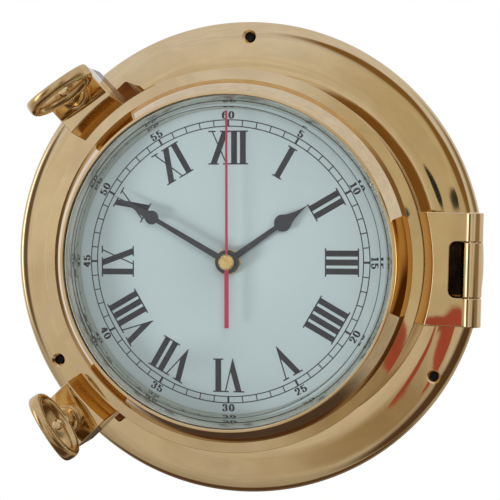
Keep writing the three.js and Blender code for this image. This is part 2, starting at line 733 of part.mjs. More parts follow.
// A spade hand that points up: hub, tapering stem, round bulb and drawn-out tip
function spadeHand(hand, bore) {
  const up = Math.PI / 2;
  const hubGap = Math.asin(hand.root / hand.hub);
  const bulbGap = Math.asin(hand.neck / hand.bulb);
  const shoulder = up / 2;
  const tipPull = hand.bulbAt + TIP_PULL * hand.bulb;
  const shape = new THREE.Shape();
  shape.absarc(0, 0, hand.hub, up + hubGap, 2 * Math.PI + up - hubGap);
  shape.absarc(0, hand.bulbAt, hand.bulb, bulbGap - up, shoulder);
  shape.quadraticCurveTo(hand.tip, tipPull, 0, hand.length);
  shape.quadraticCurveTo(-hand.tip, tipPull, -hand.bulb * Math.cos(shoulder),
    hand.bulbAt + hand.bulb * Math.sin(shoulder));
  shape.absarc(0, hand.bulbAt, hand.bulb, 2 * up - shoulder, 3 * up - bulbGap);
  shape.holes.push(circle(bore));
  return shape;
}

function secondHandShape() {
  const { length, tail, hub, front, end, back } = SECOND_HAND;
  const shape = new THREE.Shape();
  const rise = Math.sqrt(hub * hub - front * front);
  const drop = Math.sqrt(hub * hub - back * back);
  shape.moveTo(-back, -tail);
  shape.lineTo(back, -tail);
  shape.absarc(0, 0, hub, Math.atan2(-drop, back), Math.atan2(rise, front));
  shape.lineTo(end, length);
  shape.lineTo(-end, length);
  shape.absarc(0, 0, hub, Math.atan2(rise, -front), Math.atan2(-drop, -back) + 2 * Math.PI);
  shape.holes.push(circle(SECOND_ARBOR_RADIUS + FIT));
  return shape;
}

function pointAt(mesh, clockAngle) {
  mesh.rotation.z = radians(DIAL_TURN - clockAngle);
}

const hourShape = spadeHand(HOUR_HAND, pipeRadius.hour + FIT);
const minuteShape = spadeHand(MINUTE_HAND, pipeRadius.minute + FIT);
pointAt(piece('hour_hand', raised(hourShape, hourBack, hourFront), 'black'), HOUR_HAND.clock);
pointAt(piece('minute_hand', raised(minuteShape, minuteBack, minuteFront), 'black'), MINUTE_HAND.clock);
pointAt(piece('second_hand', raised(secondHandShape(), secondBack, secondFront), 'red'),
  SECOND_HAND.clock);

piece('second_cap', turned([
  [0, capBack],
  [CAP_RADIUS, capBack],
  ...CAP_STEPS.map(([radius, height]) => [radius * CAP_RADIUS, capBack + height * CAP_HEIGHT]),
  [0, capFront],
], SIDES.small), 'goldBrass');

// Movement: case, cover, bush and nut through the dial

const rubberFront = dialBack - FIT;
const caseFront = rubberFront - WASHER_RUBBER_THICKNESS - FIT;
const caseBack = caseFront - CASE_DEPTH;
const caseInside = caseFront - CASE_WALL;
const coverFront = caseBack - FIT;
const coverBack = coverFront - COVER_THICKNESS;
const caseHalf = CASE_SIZE / 2;
const roomHalf = caseHalf - CASE_WALL;
const bayTop = -roomHalf + BAY_WIDTH;
const roomBottom = bayTop + BAY_WALL;
const bushFlangeFront = caseInside - FIT;
const bushFlangeBack = bushFlangeFront - BUSH_FLANGE;

const statorFront = caseInside - 2 * COIL_RADIUS + COIL_RADIUS / 2;
const statorBack = statorFront - STATOR_THICKNESS;
const statorReach = COIL_LENGTH / 2 + 2 * STATOR_WIDTH;
const postX = statorReach - STATOR_WIDTH / 2;
const postY = COIL_AXIS - STATOR_LEG / 2;

function movementCase() {
  const outer = raised(rectangle(-caseHalf, -caseHalf, caseHalf, caseHalf, CASE_ROUND), caseBack, caseFront);
  const room = raised(rectangle(-roomHalf, roomBottom, roomHalf, roomHalf), 0, caseInside);
  const bay = raised(rectangle(-roomHalf, -roomHalf, roomHalf, bayTop), 0, caseInside);
  const bushHole = rod(bushRadius + FIT, 0, 2 * DIAL_DEPTH, SIDES.small);
  const posts = [-postX, postX].map((x) => rod(POST_RADIUS, statorFront + FIT, caseFront - FIT, SIDES.tiny)
    .translate(x, postY, 0));
  return carve(carve(outer, { cut: [room, bay, bushHole] }), { join: posts });
}

piece('movement_case', movementCase(), 'plastic');

const motionX = TRAIN_DISTANCE;
piece('movement_cover', carve(
  raised(rectangle(-caseHalf, bayTop, caseHalf, caseHalf, CASE_ROUND), coverBack, coverFront),
  { cut: [rod(MOTION_ARBOR_RADIUS + FIT, 0, DIAL_DEPTH, SIDES.tiny).translate(motionX, 0, 0)] },
), 'plastic');

piece('threaded_bush', turned([
  [bushBore, bushFlangeBack],
  [BUSH_FLANGE_RADIUS, bushFlangeBack],
  [BUSH_FLANGE_RADIUS, bushFlangeFront],
  [bushRadius, bushFlangeFront],
  [bushRadius, nutFront - FIT],
  [bushBore, nutFront - FIT],
], SIDES.small), 'goldBrass');

piece('rubber_washer', ring(bushRadius + FIT, WASHER_RUBBER_RADIUS, rubberFront - WASHER_RUBBER_THICKNESS,
  rubberFront, SIDES.small), 'rubber');

function hexagon(flats, bore) {
  const shape = new THREE.Shape(evenAngles(6, 0).map((angle) => {
    const corner = flats / 2 / Math.cos(Math.PI / 6);
    return new THREE.Vector2(corner * Math.cos(radians(angle)), corner * Math.sin(radians(angle)));
  }));
  shape.holes.push(circle(bore));
  return shape;
}

piece('dial_nut', raised(hexagon(NUT_FLATS, bushRadius + FIT), nutBack, nutFront), 'goldBrass');

// Motion work: cannon pinion, motion wheel and hour wheel, in mesh on two levels

function gear(teeth, distance, mateTeeth, bore, phase) {
  const pitch = (distance * teeth) / (teeth + mateTeeth);
  const shape = new THREE.Shape(evenAngles(teeth, phase).flatMap((angle) => {
    const profile = [
      [pitch - TOOTH_ROOT, -TOOTH_FOOT / 2], [pitch + TOOTH_HEIGHT, -TOOTH_TIP / 2],
      [pitch + TOOTH_HEIGHT, TOOTH_TIP / 2], [pitch - TOOTH_ROOT, TOOTH_FOOT / 2],
    ];
    return profile.map(([x, y]) => new THREE.Vector2(x, y).rotateAround(new THREE.Vector2(), radians(angle)));
  }));
  if (bore) shape.holes.push(circle(bore));
  return shape;
}

const hourWheelFront = bushFlangeBack - FIT;
const hourWheelBack = hourWheelFront - TRAIN_WHEEL_HEIGHT;
const cannonBack = hourWheelBack - TRAIN_LEVEL;
const cannonFront = cannonBack + TRAIN_WHEEL_HEIGHT;
const secondWheelFront = cannonBack - TRAIN_LEVEL;
const secondWheelBack = secondWheelFront - TRAIN_WHEEL_HEIGHT;
const gap = (teeth) => TURN / 2 / teeth;

piece('hour_wheel', carve(
  raised(gear(HOUR_TEETH, TRAIN_DISTANCE, MOTION_PINION_TEETH, pipeRadius.hourBore, gap(HOUR_TEETH)),
    hourWheelBack, hourWheelFront),
  { join: [ring(pipeRadius.hourBore, pipeRadius.hour, hourWheelBack, hourFront, SIDES.tiny)] },
), 'palePlastic');

piece('cannon_pinion', carve(
  raised(gear(CANNON_TEETH, TRAIN_DISTANCE, MOTION_WHEEL_TEETH, pipeRadius.minuteBore, 0),
    cannonBack, cannonFront),
  { join: [ring(pipeRadius.minuteBore, pipeRadius.minute, cannonBack, minuteFront, SIDES.tiny)] },
), 'palePlastic');

const arborBack = coverFront + FIT;
piece('second_wheel', carve(rod(SECOND_ARBOR_RADIUS, arborBack, secondFront, SIDES.tiny), {
  join: [rod(SECOND_WHEEL_RADIUS, secondWheelBack, secondWheelFront, SIDES.small)],
}), 'palePlastic');

const knobFront = coverBack - FIT;
const knobBack = knobFront - KNOB_HEIGHT;
const motion = new THREE.Group();
motion.position.x = motionX;
clock.add(motion);

piece('motion_wheel', carve(rod(MOTION_ARBOR_RADIUS, knobBack + FIT, hourWheelFront, SIDES.tiny), {
  join: [
    raised(gear(MOTION_WHEEL_TEETH, TRAIN_DISTANCE, CANNON_TEETH, 0, gap(MOTION_WHEEL_TEETH)),
      cannonBack, cannonFront),
    raised(gear(MOTION_PINION_TEETH, TRAIN_DISTANCE, HOUR_TEETH, 0, 0), hourWheelBack, hourWheelFront),
  ],
}), 'palePlastic', motion);

function knob() {
  const shape = new THREE.Shape(evenAngles(2 * KNOB_LOBES, 0).map((angle, i) => {
    const radius = KNOB_RADIUS - (i % 2) * KNOB_LOBE_DEPTH;
    return new THREE.Vector2(radius * Math.cos(radians(angle)), radius * Math.sin(radians(angle)));
  }));
  shape.holes.push(circle(MOTION_ARBOR_RADIUS + FIT));
  return shape;
}

piece('setting_knob', raised(knob(), knobBack, knobFront), 'plastic', motion);

// Electrical parts: battery, contacts, board, coil and stator

const bayCentre = bayTop - BAY_WIDTH / 2;
const batteryDepth = caseInside - FIT - BATTERY_RADIUS;

function batteryCell() {
  const end = BATTERY_LENGTH / 2;
  return turned([
    [0, -end],
    [BATTERY_RADIUS, -end],
    [BATTERY_RADIUS, end],
    [BATTERY_NUB_RADIUS, end],
    [BATTERY_NUB_RADIUS, end + BATTERY_NUB],
    [0, end + BATTERY_NUB],
  ], SIDES.small).rotateY(Math.PI / 2);
}

const contactFace = roomHalf - FIT;
const cellShift = contactFace - CONTACT_THICKNESS - FIT - BATTERY_NUB - BATTERY_LENGTH / 2;
piece('battery', batteryCell().translate(cellShift, bayCentre, batteryDepth), 'battery');

const cellEnd = cellShift - BATTERY_LENGTH / 2 - FIT;
const contacts = [
  ['positive', contactFace - CONTACT_THICKNESS, contactFace],
  ['negative', -contactFace, cellEnd],
];
for (const [pole, low, high] of contacts) {
  const leaf = rectangle(low, bayCentre - CONTACT_WIDTH / 2, high, bayCentre + CONTACT_WIDTH / 2);
  piece(`battery_contact_${pole}`, raised(leaf, batteryDepth - CONTACT_WIDTH / 2, caseInside - FIT), 'steel');
}

const boardLeft = -roomHalf + FIT;
const boardTop = roomHalf - FIT;
const boardRight = -statorReach - FIT;
const boardFront = caseInside - FIT;
piece('circuit_board', raised(rectangle(boardLeft, boardTop - BOARD_HEIGHT, boardRight, boardTop),
  boardFront - BOARD_THICKNESS, boardFront), 'board');

function statorPlate() {
  const shape = new THREE.Shape();
  const [top, bar] = [COIL_AXIS + STATOR_WIDTH / 2, COIL_AXIS - STATOR_WIDTH / 2];
  const outline = [
    [-statorReach, top], [-statorReach, top - STATOR_LEG], [STATOR_WIDTH - statorReach, top - STATOR_LEG],
    [STATOR_WIDTH - statorReach, bar], [statorReach - STATOR_WIDTH, bar],
    [statorReach - STATOR_WIDTH, top - STATOR_LEG], [statorReach, top - STATOR_LEG], [statorReach, top],
  ];
  shape.setFromPoints(outline.map(([x, y]) => new THREE.Vector2(x, y)));
  return shape;
}

piece('stator', raised(statorPlate(), statorBack, statorFront), 'steel');

function coilBobbin() {
  const end = COIL_LENGTH / 2;
  const bore = Math.hypot(STATOR_WIDTH / 2, STATOR_THICKNESS / 2) + FIT;
  const wire = COIL_RADIUS - COIL_WIRE_STEP;
  return turned([
    [bore, -end],
    [COIL_RADIUS, -end],
    [COIL_RADIUS, COIL_CHEEK - end],
    [wire, COIL_CHEEK - end],
    [wire, end - COIL_CHEEK],
    [COIL_RADIUS, end - COIL_CHEEK],
    [COIL_RADIUS, end],
    [bore, end],
  ], SIDES.small).rotateY(Math.PI / 2);
}

piece('coil', coilBobbin().translate(0, COIL_AXIS, (statorFront + statorBack) / 2), 'copper');

clock.rotation.x = Math.PI / 2;

export default clock;
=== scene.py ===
# Porthole clock: the looks of a cast brass wall clock with a hinged, glazed door.
# Sizes are in millimetres until a mesh is made, with depth counted forward from the wall.
import math
import bmesh
import bpy
from mathutils import Matrix, Quaternion, Vector


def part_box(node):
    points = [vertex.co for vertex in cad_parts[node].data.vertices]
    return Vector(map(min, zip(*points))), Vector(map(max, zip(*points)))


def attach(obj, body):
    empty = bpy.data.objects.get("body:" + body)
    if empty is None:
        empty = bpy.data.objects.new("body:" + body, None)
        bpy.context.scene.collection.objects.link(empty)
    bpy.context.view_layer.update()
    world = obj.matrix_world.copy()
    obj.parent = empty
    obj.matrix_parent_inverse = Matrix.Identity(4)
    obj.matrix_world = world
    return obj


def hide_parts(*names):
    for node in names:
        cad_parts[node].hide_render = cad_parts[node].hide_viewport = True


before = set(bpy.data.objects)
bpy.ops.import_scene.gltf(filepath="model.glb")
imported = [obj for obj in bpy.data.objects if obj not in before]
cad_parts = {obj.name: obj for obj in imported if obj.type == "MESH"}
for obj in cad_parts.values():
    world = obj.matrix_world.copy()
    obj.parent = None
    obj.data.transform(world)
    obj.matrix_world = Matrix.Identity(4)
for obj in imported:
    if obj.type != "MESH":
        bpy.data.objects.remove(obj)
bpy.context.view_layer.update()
scene = bpy.context.scene
scene.view_settings.view_transform = "Standard"


# Room: a pale studio, with the camera a little to the right of the clock and level with
# its middle. The clock hangs, so the floor lies well below it and out of the picture.
CAMERA_AT = Vector((0.10896, -0.6244, 0.02737))
CAMERA_LOOKS = Vector((-0.16870, 0.98498, -0.03692))
CAMERA_ROLL = math.radians(1.34)
CAMERA_LENS = 92.96
FLOOR_LEVEL = -0.55
FLOOR_REACH = 1.6
FLOOR_COLOUR = (0.86, 0.86, 0.85, 1)
ROOM_LIGHT = 0.42
WHITE = (1, 1, 1, 1)

lens = bpy.data.cameras.new("photo_camera")
lens.lens = CAMERA_LENS
lens.sensor_fit = "HORIZONTAL"
lens.clip_start = 0.01
camera = bpy.data.objects.new("photo_camera", lens)
camera.location = CAMERA_AT
aim = CAMERA_LOOKS.to_track_quat("-Z", "Y") @ Quaternion((0, 0, 1), CAMERA_ROLL)
camera.rotation_euler = aim.to_euler()
scene.collection.objects.link(camera)
scene.camera = camera


def feed(tree, socket, value):
    """Links a socket to another one, or sets it to a plain value."""
    if isinstance(value, bpy.types.NodeSocket):
        tree.links.new(value, socket)
    else:
        socket.default_value = value


def mixed(tree, factor, first, second):
    """A colour mix; each argument is a value or a socket to link from."""
    node = tree.nodes.new("ShaderNodeMix")
    node.data_type = "RGBA"
    for index, value in zip((0, 6, 7), (factor, first, second)):
        feed(tree, node.inputs[index], value)
    return node.outputs[2]


def ranged(tree, value, low, high, to_low, to_high):
    """A value carried smoothly from one range to another."""
    node = tree.nodes.new("ShaderNodeMapRange")
    node.interpolation_type = "SMOOTHSTEP"
    tree.links.new(value, node.inputs["Value"])
    for name, number in (("From Min", low), ("From Max", high), ("To Min", to_low), ("To Max", to_high)):
        node.inputs[name].default_value = number
    return node.outputs["Result"]


def noise_in(tree, vector, scale, detail, roughness=0.5):
    node = tree.nodes.new("ShaderNodeTexNoise")
    for name, value in (("Vector", vector), ("Scale", scale), ("Detail", detail), ("Roughness", roughness)):
        feed(tree, node.inputs[name], value)
    return node.outputs["Fac"]


def combined(tree, operation, *values, kind="ShaderNodeMath"):
    """One operation on numbers or vectors; each is a value or a socket to link from."""
    node = tree.nodes.new(kind)
    node.operation = operation
    for socket, value in zip(node.inputs, values):
        feed(tree, socket, value)
    return node.outputs["Value" if operation == "LENGTH" else 0]


# What the polished brass sees: a pale room with a window on the left, brown furniture low in
# front and on the right, a dark board behind, and dark stands and a red cloth in front. Each
# patch has a direction, its reach along x, y and z, the softness of its edge and a tone.
ROOM_TONES = {
    "below": (0.42, 0.40, 0.38, 1),
    "level": (0.69, 0.69, 0.70, 1),
    "above": (0.71, 0.75, 0.88, 1),
}
STAND, CLOTH = (0.030, 0.030, 0.034, 1), (0.36, 0.085, 0.065, 1)
FURNITURE = (0.10, 0.06, 0.04, 1)
SIDEBOARD, BOARD = (0.22, 0.13, 0.045, 1), (0.10, 0.07, 0.05, 1)
ROOM_PATCHES = (
    ((0.00, -1.00, 0.03), (0.13, 1.0, 0.14), 0.40, (0.55, 0.52, 0.42, 1)),
    ((0.80, -0.60, 0.10), (0.40, 0.5, 0.60), 0.40, (0.26, 0.21, 0.14, 1)),
    ((-0.05, -0.98, -0.18), (0.08, 1.0, 0.06), 0.60, (0.36, 0.30, 0.21, 1)),
    ((-0.87, -0.50, 0.05), (0.10, 0.14, 0.30), 0.30, (2.6, 2.6, 2.7, 1)),
    ((-0.80, 0.60, 0.00), (0.45, 0.6, 0.60), 0.50, (0.82, 0.88, 1.05, 1)),
    ((-0.10, -0.45, -0.88), (0.90, 0.5, 0.30), 0.25, FURNITURE),
    ((0.45, -0.85, -0.35), (0.42, 0.5, 0.30), 0.20, FURNITURE),
    ((-0.10, 0.55, -0.80), (0.80, 0.5, 0.30), 0.30, (0.08, 0.055, 0.045, 1)),
    ((-0.058, -0.99, -0.115), (0.012, 1.0, 0.036), 0.12, CLOTH),
    ((-0.012, -0.99, -0.118), (0.015, 1.0, 0.042), 0.10, CLOTH),
    ((-0.024, -0.99, -0.087), (0.013, 1.0, 0.006), 0.15, CLOTH),
    ((0.13, -0.98, 0.10), (0.10, 1.0, 0.10), 0.30, SIDEBOARD),
    ((0.02, -0.97, 0.22), (0.14, 1.0, 0.09), 0.30, SIDEBOARD),
    ((-0.60, -0.80, 0.00), (0.14, 0.25, 0.25), 0.30, (0.15, 0.12, 0.09, 1)),
    ((-0.15, 0.94, -0.32), (0.25, 0.30, 0.22), 0.30, BOARD),
    ((-0.055, -1.00, 0.004), (0.022, 1.0, 0.012), 0.12, STAND),
    ((-0.008, -1.00, 0.008), (0.0085, 1.0, 0.009), 0.12, STAND),
)
ROOM_RIPPLE = 0.008
studio = bpy.data.worlds.new("studio")
studio.use_nodes = True
scene.world = studio
room = studio.node_tree
room.nodes.clear()
VECTORS = "ShaderNodeVectorMath"
towards = room.nodes.new("ShaderNodeTexCoord").outputs["Generated"]
ripple = noise_in(room, towards, 60, 3).node.outputs["Color"]
rippled = combined(room, "MULTIPLY_ADD", ripple, (ROOM_RIPPLE,) * 3, towards, kind=VECTORS)
room_height = room.nodes.new("ShaderNodeSeparateXYZ")
room.links.new(towards, room_height.inputs[0])
seen = mixed(room, ranged(room, room_height.outputs["Z"], -0.45, 0.05, 0, 1),
             ROOM_TONES["below"], ROOM_TONES["level"])
seen = mixed(room, ranged(room, room_height.outputs["Z"], 0.0, 0.18, 0, 1), seen, ROOM_TONES["above"])
for direction, reach, edge, tone in ROOM_PATCHES:
    middle = Vector(direction).normalized() + Vector((ROOM_RIPPLE / 2,) * 3)
    away = combined(room, "SUBTRACT", rippled, middle, kind=VECTORS)
    spread = combined(room, "LENGTH", combined(room, "DIVIDE", away, reach, kind=VECTORS), kind=VECTORS)
    seen = mixed(room, ranged(room, spread, 1 - edge, 1 + edge, 1, 0), seen, tone)
marbling = noise_in(room, towards, 16, 5)
marbling.node.inputs["Distortion"].default_value = 1.4
seen = combined(room, "MULTIPLY", seen, ranged(room, marbling, 0.3, 0.7, 0.92, 1.06), kind=VECTORS)
path = room.nodes.new("ShaderNodeLightPath")
white_to = combined(room, "MAXIMUM", path.outputs["Is Camera Ray"], path.outputs["Is Transmission Ray"])
lit = mixed(room, path.outputs["Is Glossy Ray"], (ROOM_LIGHT, ROOM_LIGHT, ROOM_LIGHT, 1), seen)
backing = room.nodes.new("ShaderNodeBackground")
room.links.new(mixed(room, white_to, lit, WHITE), backing.inputs["Color"])
room.links.new(backing.outputs[0], room.nodes.new("ShaderNodeOutputWorld").inputs["Surface"])

LAMPS = (
    ("window_left", (-1.20, -0.58, -0.50), 0.36, 15.5),
    ("soft_front", (0.45, -1.30, 0.75), 0.90, 3.9),
)
for name, place, across, power in LAMPS:
    lamp = bpy.data.lights.new(name, "AREA")
    lamp.shape = "DISK"
    lamp.size = across
    lamp.energy = power
    shade = bpy.data.objects.new(name, lamp)
    shade.location = place
    shade.rotation_euler = (-Vector(place)).to_track_quat("-Z", "Y").to_euler()
    shade.visible_glossy = False
    scene.collection.objects.link(shade)


def new_material(name):
    """An empty material with a Principled shader on its output."""
    material = bpy.data.materials.new(name)
    material.use_nodes = True
    tree = material.node_tree
    tree.nodes.clear()
    shader = tree.nodes.new("ShaderNodeBsdfPrincipled")
    output = tree.nodes.new("ShaderNodeOutputMaterial")
    tree.links.new(shader.outputs[0], output.inputs["Surface"])
    return material, tree, shader


def plain_paint(name, colour, roughness):
    material, _, shader = new_material(name)
    shader.inputs["Base Color"].default_value = colour
    shader.inputs["Roughness"].default_value = roughness
    return material


def as_object(name, form):
    """Makes an object in the scene of a finished form."""
    mesh = bpy.data.meshes.new(name)
    form.to_mesh(mesh)
    form.free()
    piece = bpy.data.objects.new(name, mesh)
    scene.collection.objects.link(piece)
    return piece


floor_form = bmesh.new()
bmesh.ops.create_circle(floor_form, cap_ends=True, segments=64, radius=FLOOR_REACH,
                        matrix=Matrix.Translation((0, 0, FLOOR_LEVEL)))
floor = as_object("floor", floor_form)
floor.data.materials.append(plain_paint("floor_paint", FLOOR_COLOUR, 0.9))
floor.visible_glossy = False


# Wall frame: one sand casting of polished brass, with a wall flange, a drum, a ledge for the
# dial, two lugs under the dogs and the middle knuckle of the hinge. It is turned on its
# faces, buffed by hand, and screwed to the wall through three countersunk holes.
MM = 0.001
FACING = Matrix.Rotation(math.pi / 2, 4, "X")
MERGE = 1e-7
SMOOTH_TO = math.radians(34)


def softened(corners, steps=5):
    """Turns (across, along, rounding) corners of a closed outline into points with round corners."""
    points = []
    for i, (across, along, rounding) in enumerate(corners):
        here = Vector((across, along))
        if not rounding:
            points.append(here)
            continue
        before = Vector(corners[i - 1][:2]) - here
        after = Vector(corners[(i + 1) % len(corners)][:2]) - here
        bend = before.angle(after)
        reach = min(rounding / math.tan(bend / 2), 0.48 * before.length, 0.48 * after.length)
        first, last = here + before.normalized() * reach, here + after.normalized() * reach
        weight = math.sin(bend / 2)
        for k in range(steps + 1):
            t = k / steps
            pull = 2 * weight * t * (1 - t)
            points.append((first * (1 - t) ** 2 + here * pull + last * t * t) / ((1 - t) ** 2 + pull + t * t))
    return points


def shaped(name, form, merged=True):
    """Makes an object of a form in millimetres that faces outwards: merged and smooth, or as it is."""
    bmesh.ops.scale(form, vec=(MM, MM, MM), verts=form.verts)
    if merged:
        bmesh.ops.remove_doubles(form, verts=form.verts, dist=MERGE)
    bmesh.ops.recalc_face_normals(form, faces=form.faces)
    piece = as_object(name, form)
    return smoothed(piece) if merged else piece


def smoothed(piece, angle=SMOOTH_TO):
    piece.data.polygons.foreach_set("use_smooth", [True] * len(piece.data.polygons))
    piece.data.set_sharp_from_angle(angle=angle)
    return piece


def looped(name, rows, place):
    """A form with a skin through rows of points, closed along the rows and across them."""
    form = bmesh.new()
    rows = [[form.verts.new(point) for point in row] for row in rows]
    for row, following in zip(rows, rows[1:] + rows[:1]):
        for i in range(len(row)):
            form.faces.new((row[i - 1], row[i], following[i], following[i - 1]))
    bmesh.ops.transform(form, matrix=place, verts=form.verts)
    return shaped(name, form)


def turned(name, corners, sides=192, place=FACING, steps=5):
    """A form turned on a lathe about its own z, from (radius, along, rounding) corners."""
    outline = softened(corners, steps)
    turns = (2 * math.pi * k / sides for k in range(sides))
    return looped(name, [[(p.x * math.cos(a), p.x * math.sin(a), p.y) for p in outline] for a in turns], place)


def ring(inner, outer, back, front, *roundings):
    """The four corners of a plain turned ring, or of a disc if its inner radius is 0."""
    places = ((inner, back), (outer, back), (outer, front), (inner, front))
    return [(*place, rounding) for place, rounding in zip(places, roundings or (0, 0, 0, 0))]


def stacked(name, layers, place=FACING, *, edge, segments=3):
    """A closed form through layers of points, its edges eased by a bevel."""
    form = bmesh.new()
    rows = [[form.verts.new(point) for point in layer] for layer in layers]
    for low, high in zip(rows, rows[1:]):
        for i in range(len(low)):
            form.faces.new((low[i - 1], low[i], high[i], high[i - 1]))
    form.faces.new(rows[0])
    form.faces.new(rows[-1])
    bmesh.ops.transform(form, matrix=place, verts=form.verts)
    piece = shaped(name, form)
    return smoothed(with_eased_edges(piece, edge, segments, 28))


def with_eased_edges(piece, width, segments, limit):
    """Bevels the edges of a piece that are sharper than a limit in degrees."""
    easing = piece.modifiers.new("easing", "BEVEL")
    easing.width = width * MM
    easing.segments = segments
    easing.limit_method = "ANGLE"
    easing.angle_limit = math.radians(limit)
    return baked(piece)


def baked(piece):
    """Turns a piece's modifiers into its plain mesh."""
    graph = bpy.context.evaluated_depsgraph_get()
    mesh = bpy.data.meshes.new_from_object(piece.evaluated_get(graph))
    piece.modifiers.clear()
    piece.data = mesh
    return piece


def carved(piece, join=(), cut=()):
    """Joins forms to a piece and then cuts others out of it."""
    for operation, others in (("UNION", join), ("DIFFERENCE", cut)):
        for other in others:
            step = piece.modifiers.new("carving", "BOOLEAN")
            step.operation = operation
            step.object = other
            step.solver = "EXACT"
    baked(piece)
    for other in (*join, *cut):
        bpy.data.objects.remove(other)
    form = bmesh.new()
    form.from_mesh(piece.data)
    bmesh.ops.remove_doubles(form, verts=form.verts, dist=20 * MERGE)
    bmesh.ops.dissolve_degenerate(form, edges=form.edges, dist=20 * MERGE)
    form.to_mesh(piece.data)
    form.free()
    smoothed(piece)
    flats = piece.modifiers.new("flats", "WEIGHTED_NORMAL")
    flats.keep_sharp = True
    return baked(piece)


def at_angle(radius, angle):
    """The matrix of a place on a circle of the clock's face, turned to stand out radially."""
    return FACING @ Matrix.Rotation(math.radians(angle), 4, "Z") @ Matrix.Translation((radius, 0, 0))


def finish_with(piece, material):
    piece.data.materials.clear()
    piece.data.materials.append(material)
    return piece


def refinish(piece, material, chosen):
    """Gives another material to the faces chosen by their radius and depth in millimetres."""
    piece.data.materials.append(material)
    for face in piece.data.polygons:
        if chosen(math.hypot(face.center.x, face.center.z) / MM, -face.center.y / MM, face):
            face.material_index = len(piece.data.materials) - 1


# Buffing leaves brass slightly wavy, with fine scratches, and handling leaves faint clouds
buffing = bpy.data.node_groups.new("buffed_metal", "ShaderNodeTree")
taken, given = buffing.nodes.new("NodeGroupInput"), buffing.nodes.new("NodeGroupOutput")
at = buffing.nodes.new("ShaderNodeTexCoord").outputs["Object"]
for label, detail, roughness in (("Wave", 1.2, 0.35), ("Grain", 3, 0.6), ("Cloud", 5, 0.62)):
    buffing.interface.new_socket(f"{label} Scale", in_out="INPUT", socket_type="NodeSocketFloat")
    buffing.interface.new_socket(label, in_out="OUTPUT", socket_type="NodeSocketFloat")
    effect = noise_in(buffing, at, taken.outputs[f"{label} Scale"], detail, roughness)
    buffing.links.new(effect, given.inputs[label])


def bumped(tree, height, depth, under=None):
    """The normal of a bump of some depth in millimetres, over another bump if there is one."""
    bump = tree.nodes.new("ShaderNodeBump")
    bump.inputs["Distance"].default_value = depth * MM
    tree.links.new(height, bump.inputs["Height"])
    if under:
        tree.links.new(under, bump.inputs["Normal"])
    return bump.outputs["Normal"]


def metal(name, bright, dull, gloss, wave, grain, scales=(34.0, 900.0, 45.0)):
    """A buffed metal: bright and dull colour, roughness range, and depth of waves and grain in mm."""
    material, tree, shader = new_material(name)
    group = tree.nodes.new("ShaderNodeGroup")
    group.node_tree = buffing
    for socket, value in zip(group.inputs, scales):
        socket.default_value = value
    shader.inputs["Metallic"].default_value = 1
    cloud = ranged(tree, group.outputs["Cloud"], 0.38, 0.68, 0, 1)
    tree.links.new(mixed(tree, cloud, (*bright, 1), (*dull, 1)), shader.inputs["Base Color"])
    tree.links.new(ranged(tree, group.outputs["Cloud"], 0.3, 0.75, *gloss), shader.inputs["Roughness"])
    bumps = None
    for label, depth in (("Wave", wave), ("Grain", grain)):
        if depth:
            bumps = bumped(tree, group.outputs[label], depth, bumps)
    if bumps:
        tree.links.new(bumps, shader.inputs["Normal"])
    return material


CAST_SCALES = (60.0, 420.0, 70.0)
polished_brass = metal("polished_brass", (0.80, 0.60, 0.33), (0.76, 0.55, 0.29), (0.015, 0.035), 0.06, 0.0006)
# Near-black brass is painted shade for faces in the gaps under the door, the dogs and the glass keeper
gap_shade_brass = metal("gap_shade_brass", (0.060, 0.042, 0.022), (0.030, 0.022, 0.014), (0.35, 0.60),
                        0.25, 0.08, CAST_SCALES)
# Dark red-brown brass is painted shade for the lugs' walls under the ears
lug_shade_brass = metal("lug_shade_brass", (0.22, 0.09, 0.03), (0.13, 0.05, 0.02), (0.10, 0.25), 0.10, 0.01)
cast_brass = metal("cast_brass", (0.50, 0.36, 0.17), (0.36, 0.25, 0.12), (0.38, 0.60), 0.25, 0.08, CAST_SCALES)

DRUM_BORE, DRUM, FLANGE = 84.0, 88.0, -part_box("frame_casting")[0].x / MM
FRAME_FRONT, DIAL_FACE, FLANGE_FOOT = 40.2, 45.0, 4.44
LEDGE, LEDGE_BACK, LEDGE_BORE, WEB_BACK = 43.9, 38.9, 69.0, 34.9
COLLAR_BORE, COLLAR = 74.8, 77.2
SEAT_INNER, SEAT_OUTER, SEAT_DEPTH = 82.3, 85.3, 38.1
# Buffing has rounded the flange towards its rim and dished it a little towards the drum
FLANGE_CROWN = [(FLANGE - inset, depth, 0) for inset, depth in (
    (0, 2.2), (0.12, 3.0), (0.5, 3.6), (1.1, 4.1), (2.0, 4.5), (3.2, 4.76), (4.8, 4.92), (6.6, 4.98),
    (8.6, 5.0), (15.0, 5.0), (17.0, 4.984), (19.0, 4.937), (21.0, 4.859), (23.0, 4.749), (24.5, 4.646),
    (26.0, 4.525))]
wall_frame = turned("wall_frame", (
    (DRUM_BORE, 0, 0.6),
    (FLANGE, 0, 0.9),
    *FLANGE_CROWN,
    (DRUM, FLANGE_FOOT, 0.4),
    (DRUM, FRAME_FRONT, 0.45),
    (SEAT_OUTER, FRAME_FRONT, 0.2),
    (SEAT_OUTER, SEAT_DEPTH, 0),
    (SEAT_INNER, SEAT_DEPTH, 0),
    (SEAT_INNER, FRAME_FRONT, 0.2),
    (COLLAR, FRAME_FRONT, 0.5),
    (COLLAR, DIAL_FACE, 0.3),
    (COLLAR_BORE, DIAL_FACE, 0.2),
    (COLLAR_BORE, LEDGE, 0),
    (LEDGE_BORE, LEDGE, 0.3),
    (LEDGE_BORE, LEDGE_BACK, 0.6),
    (COLLAR, LEDGE_BACK, 1.5),
    (DRUM_BORE, WEB_BACK, 2.5),
), sides=256)

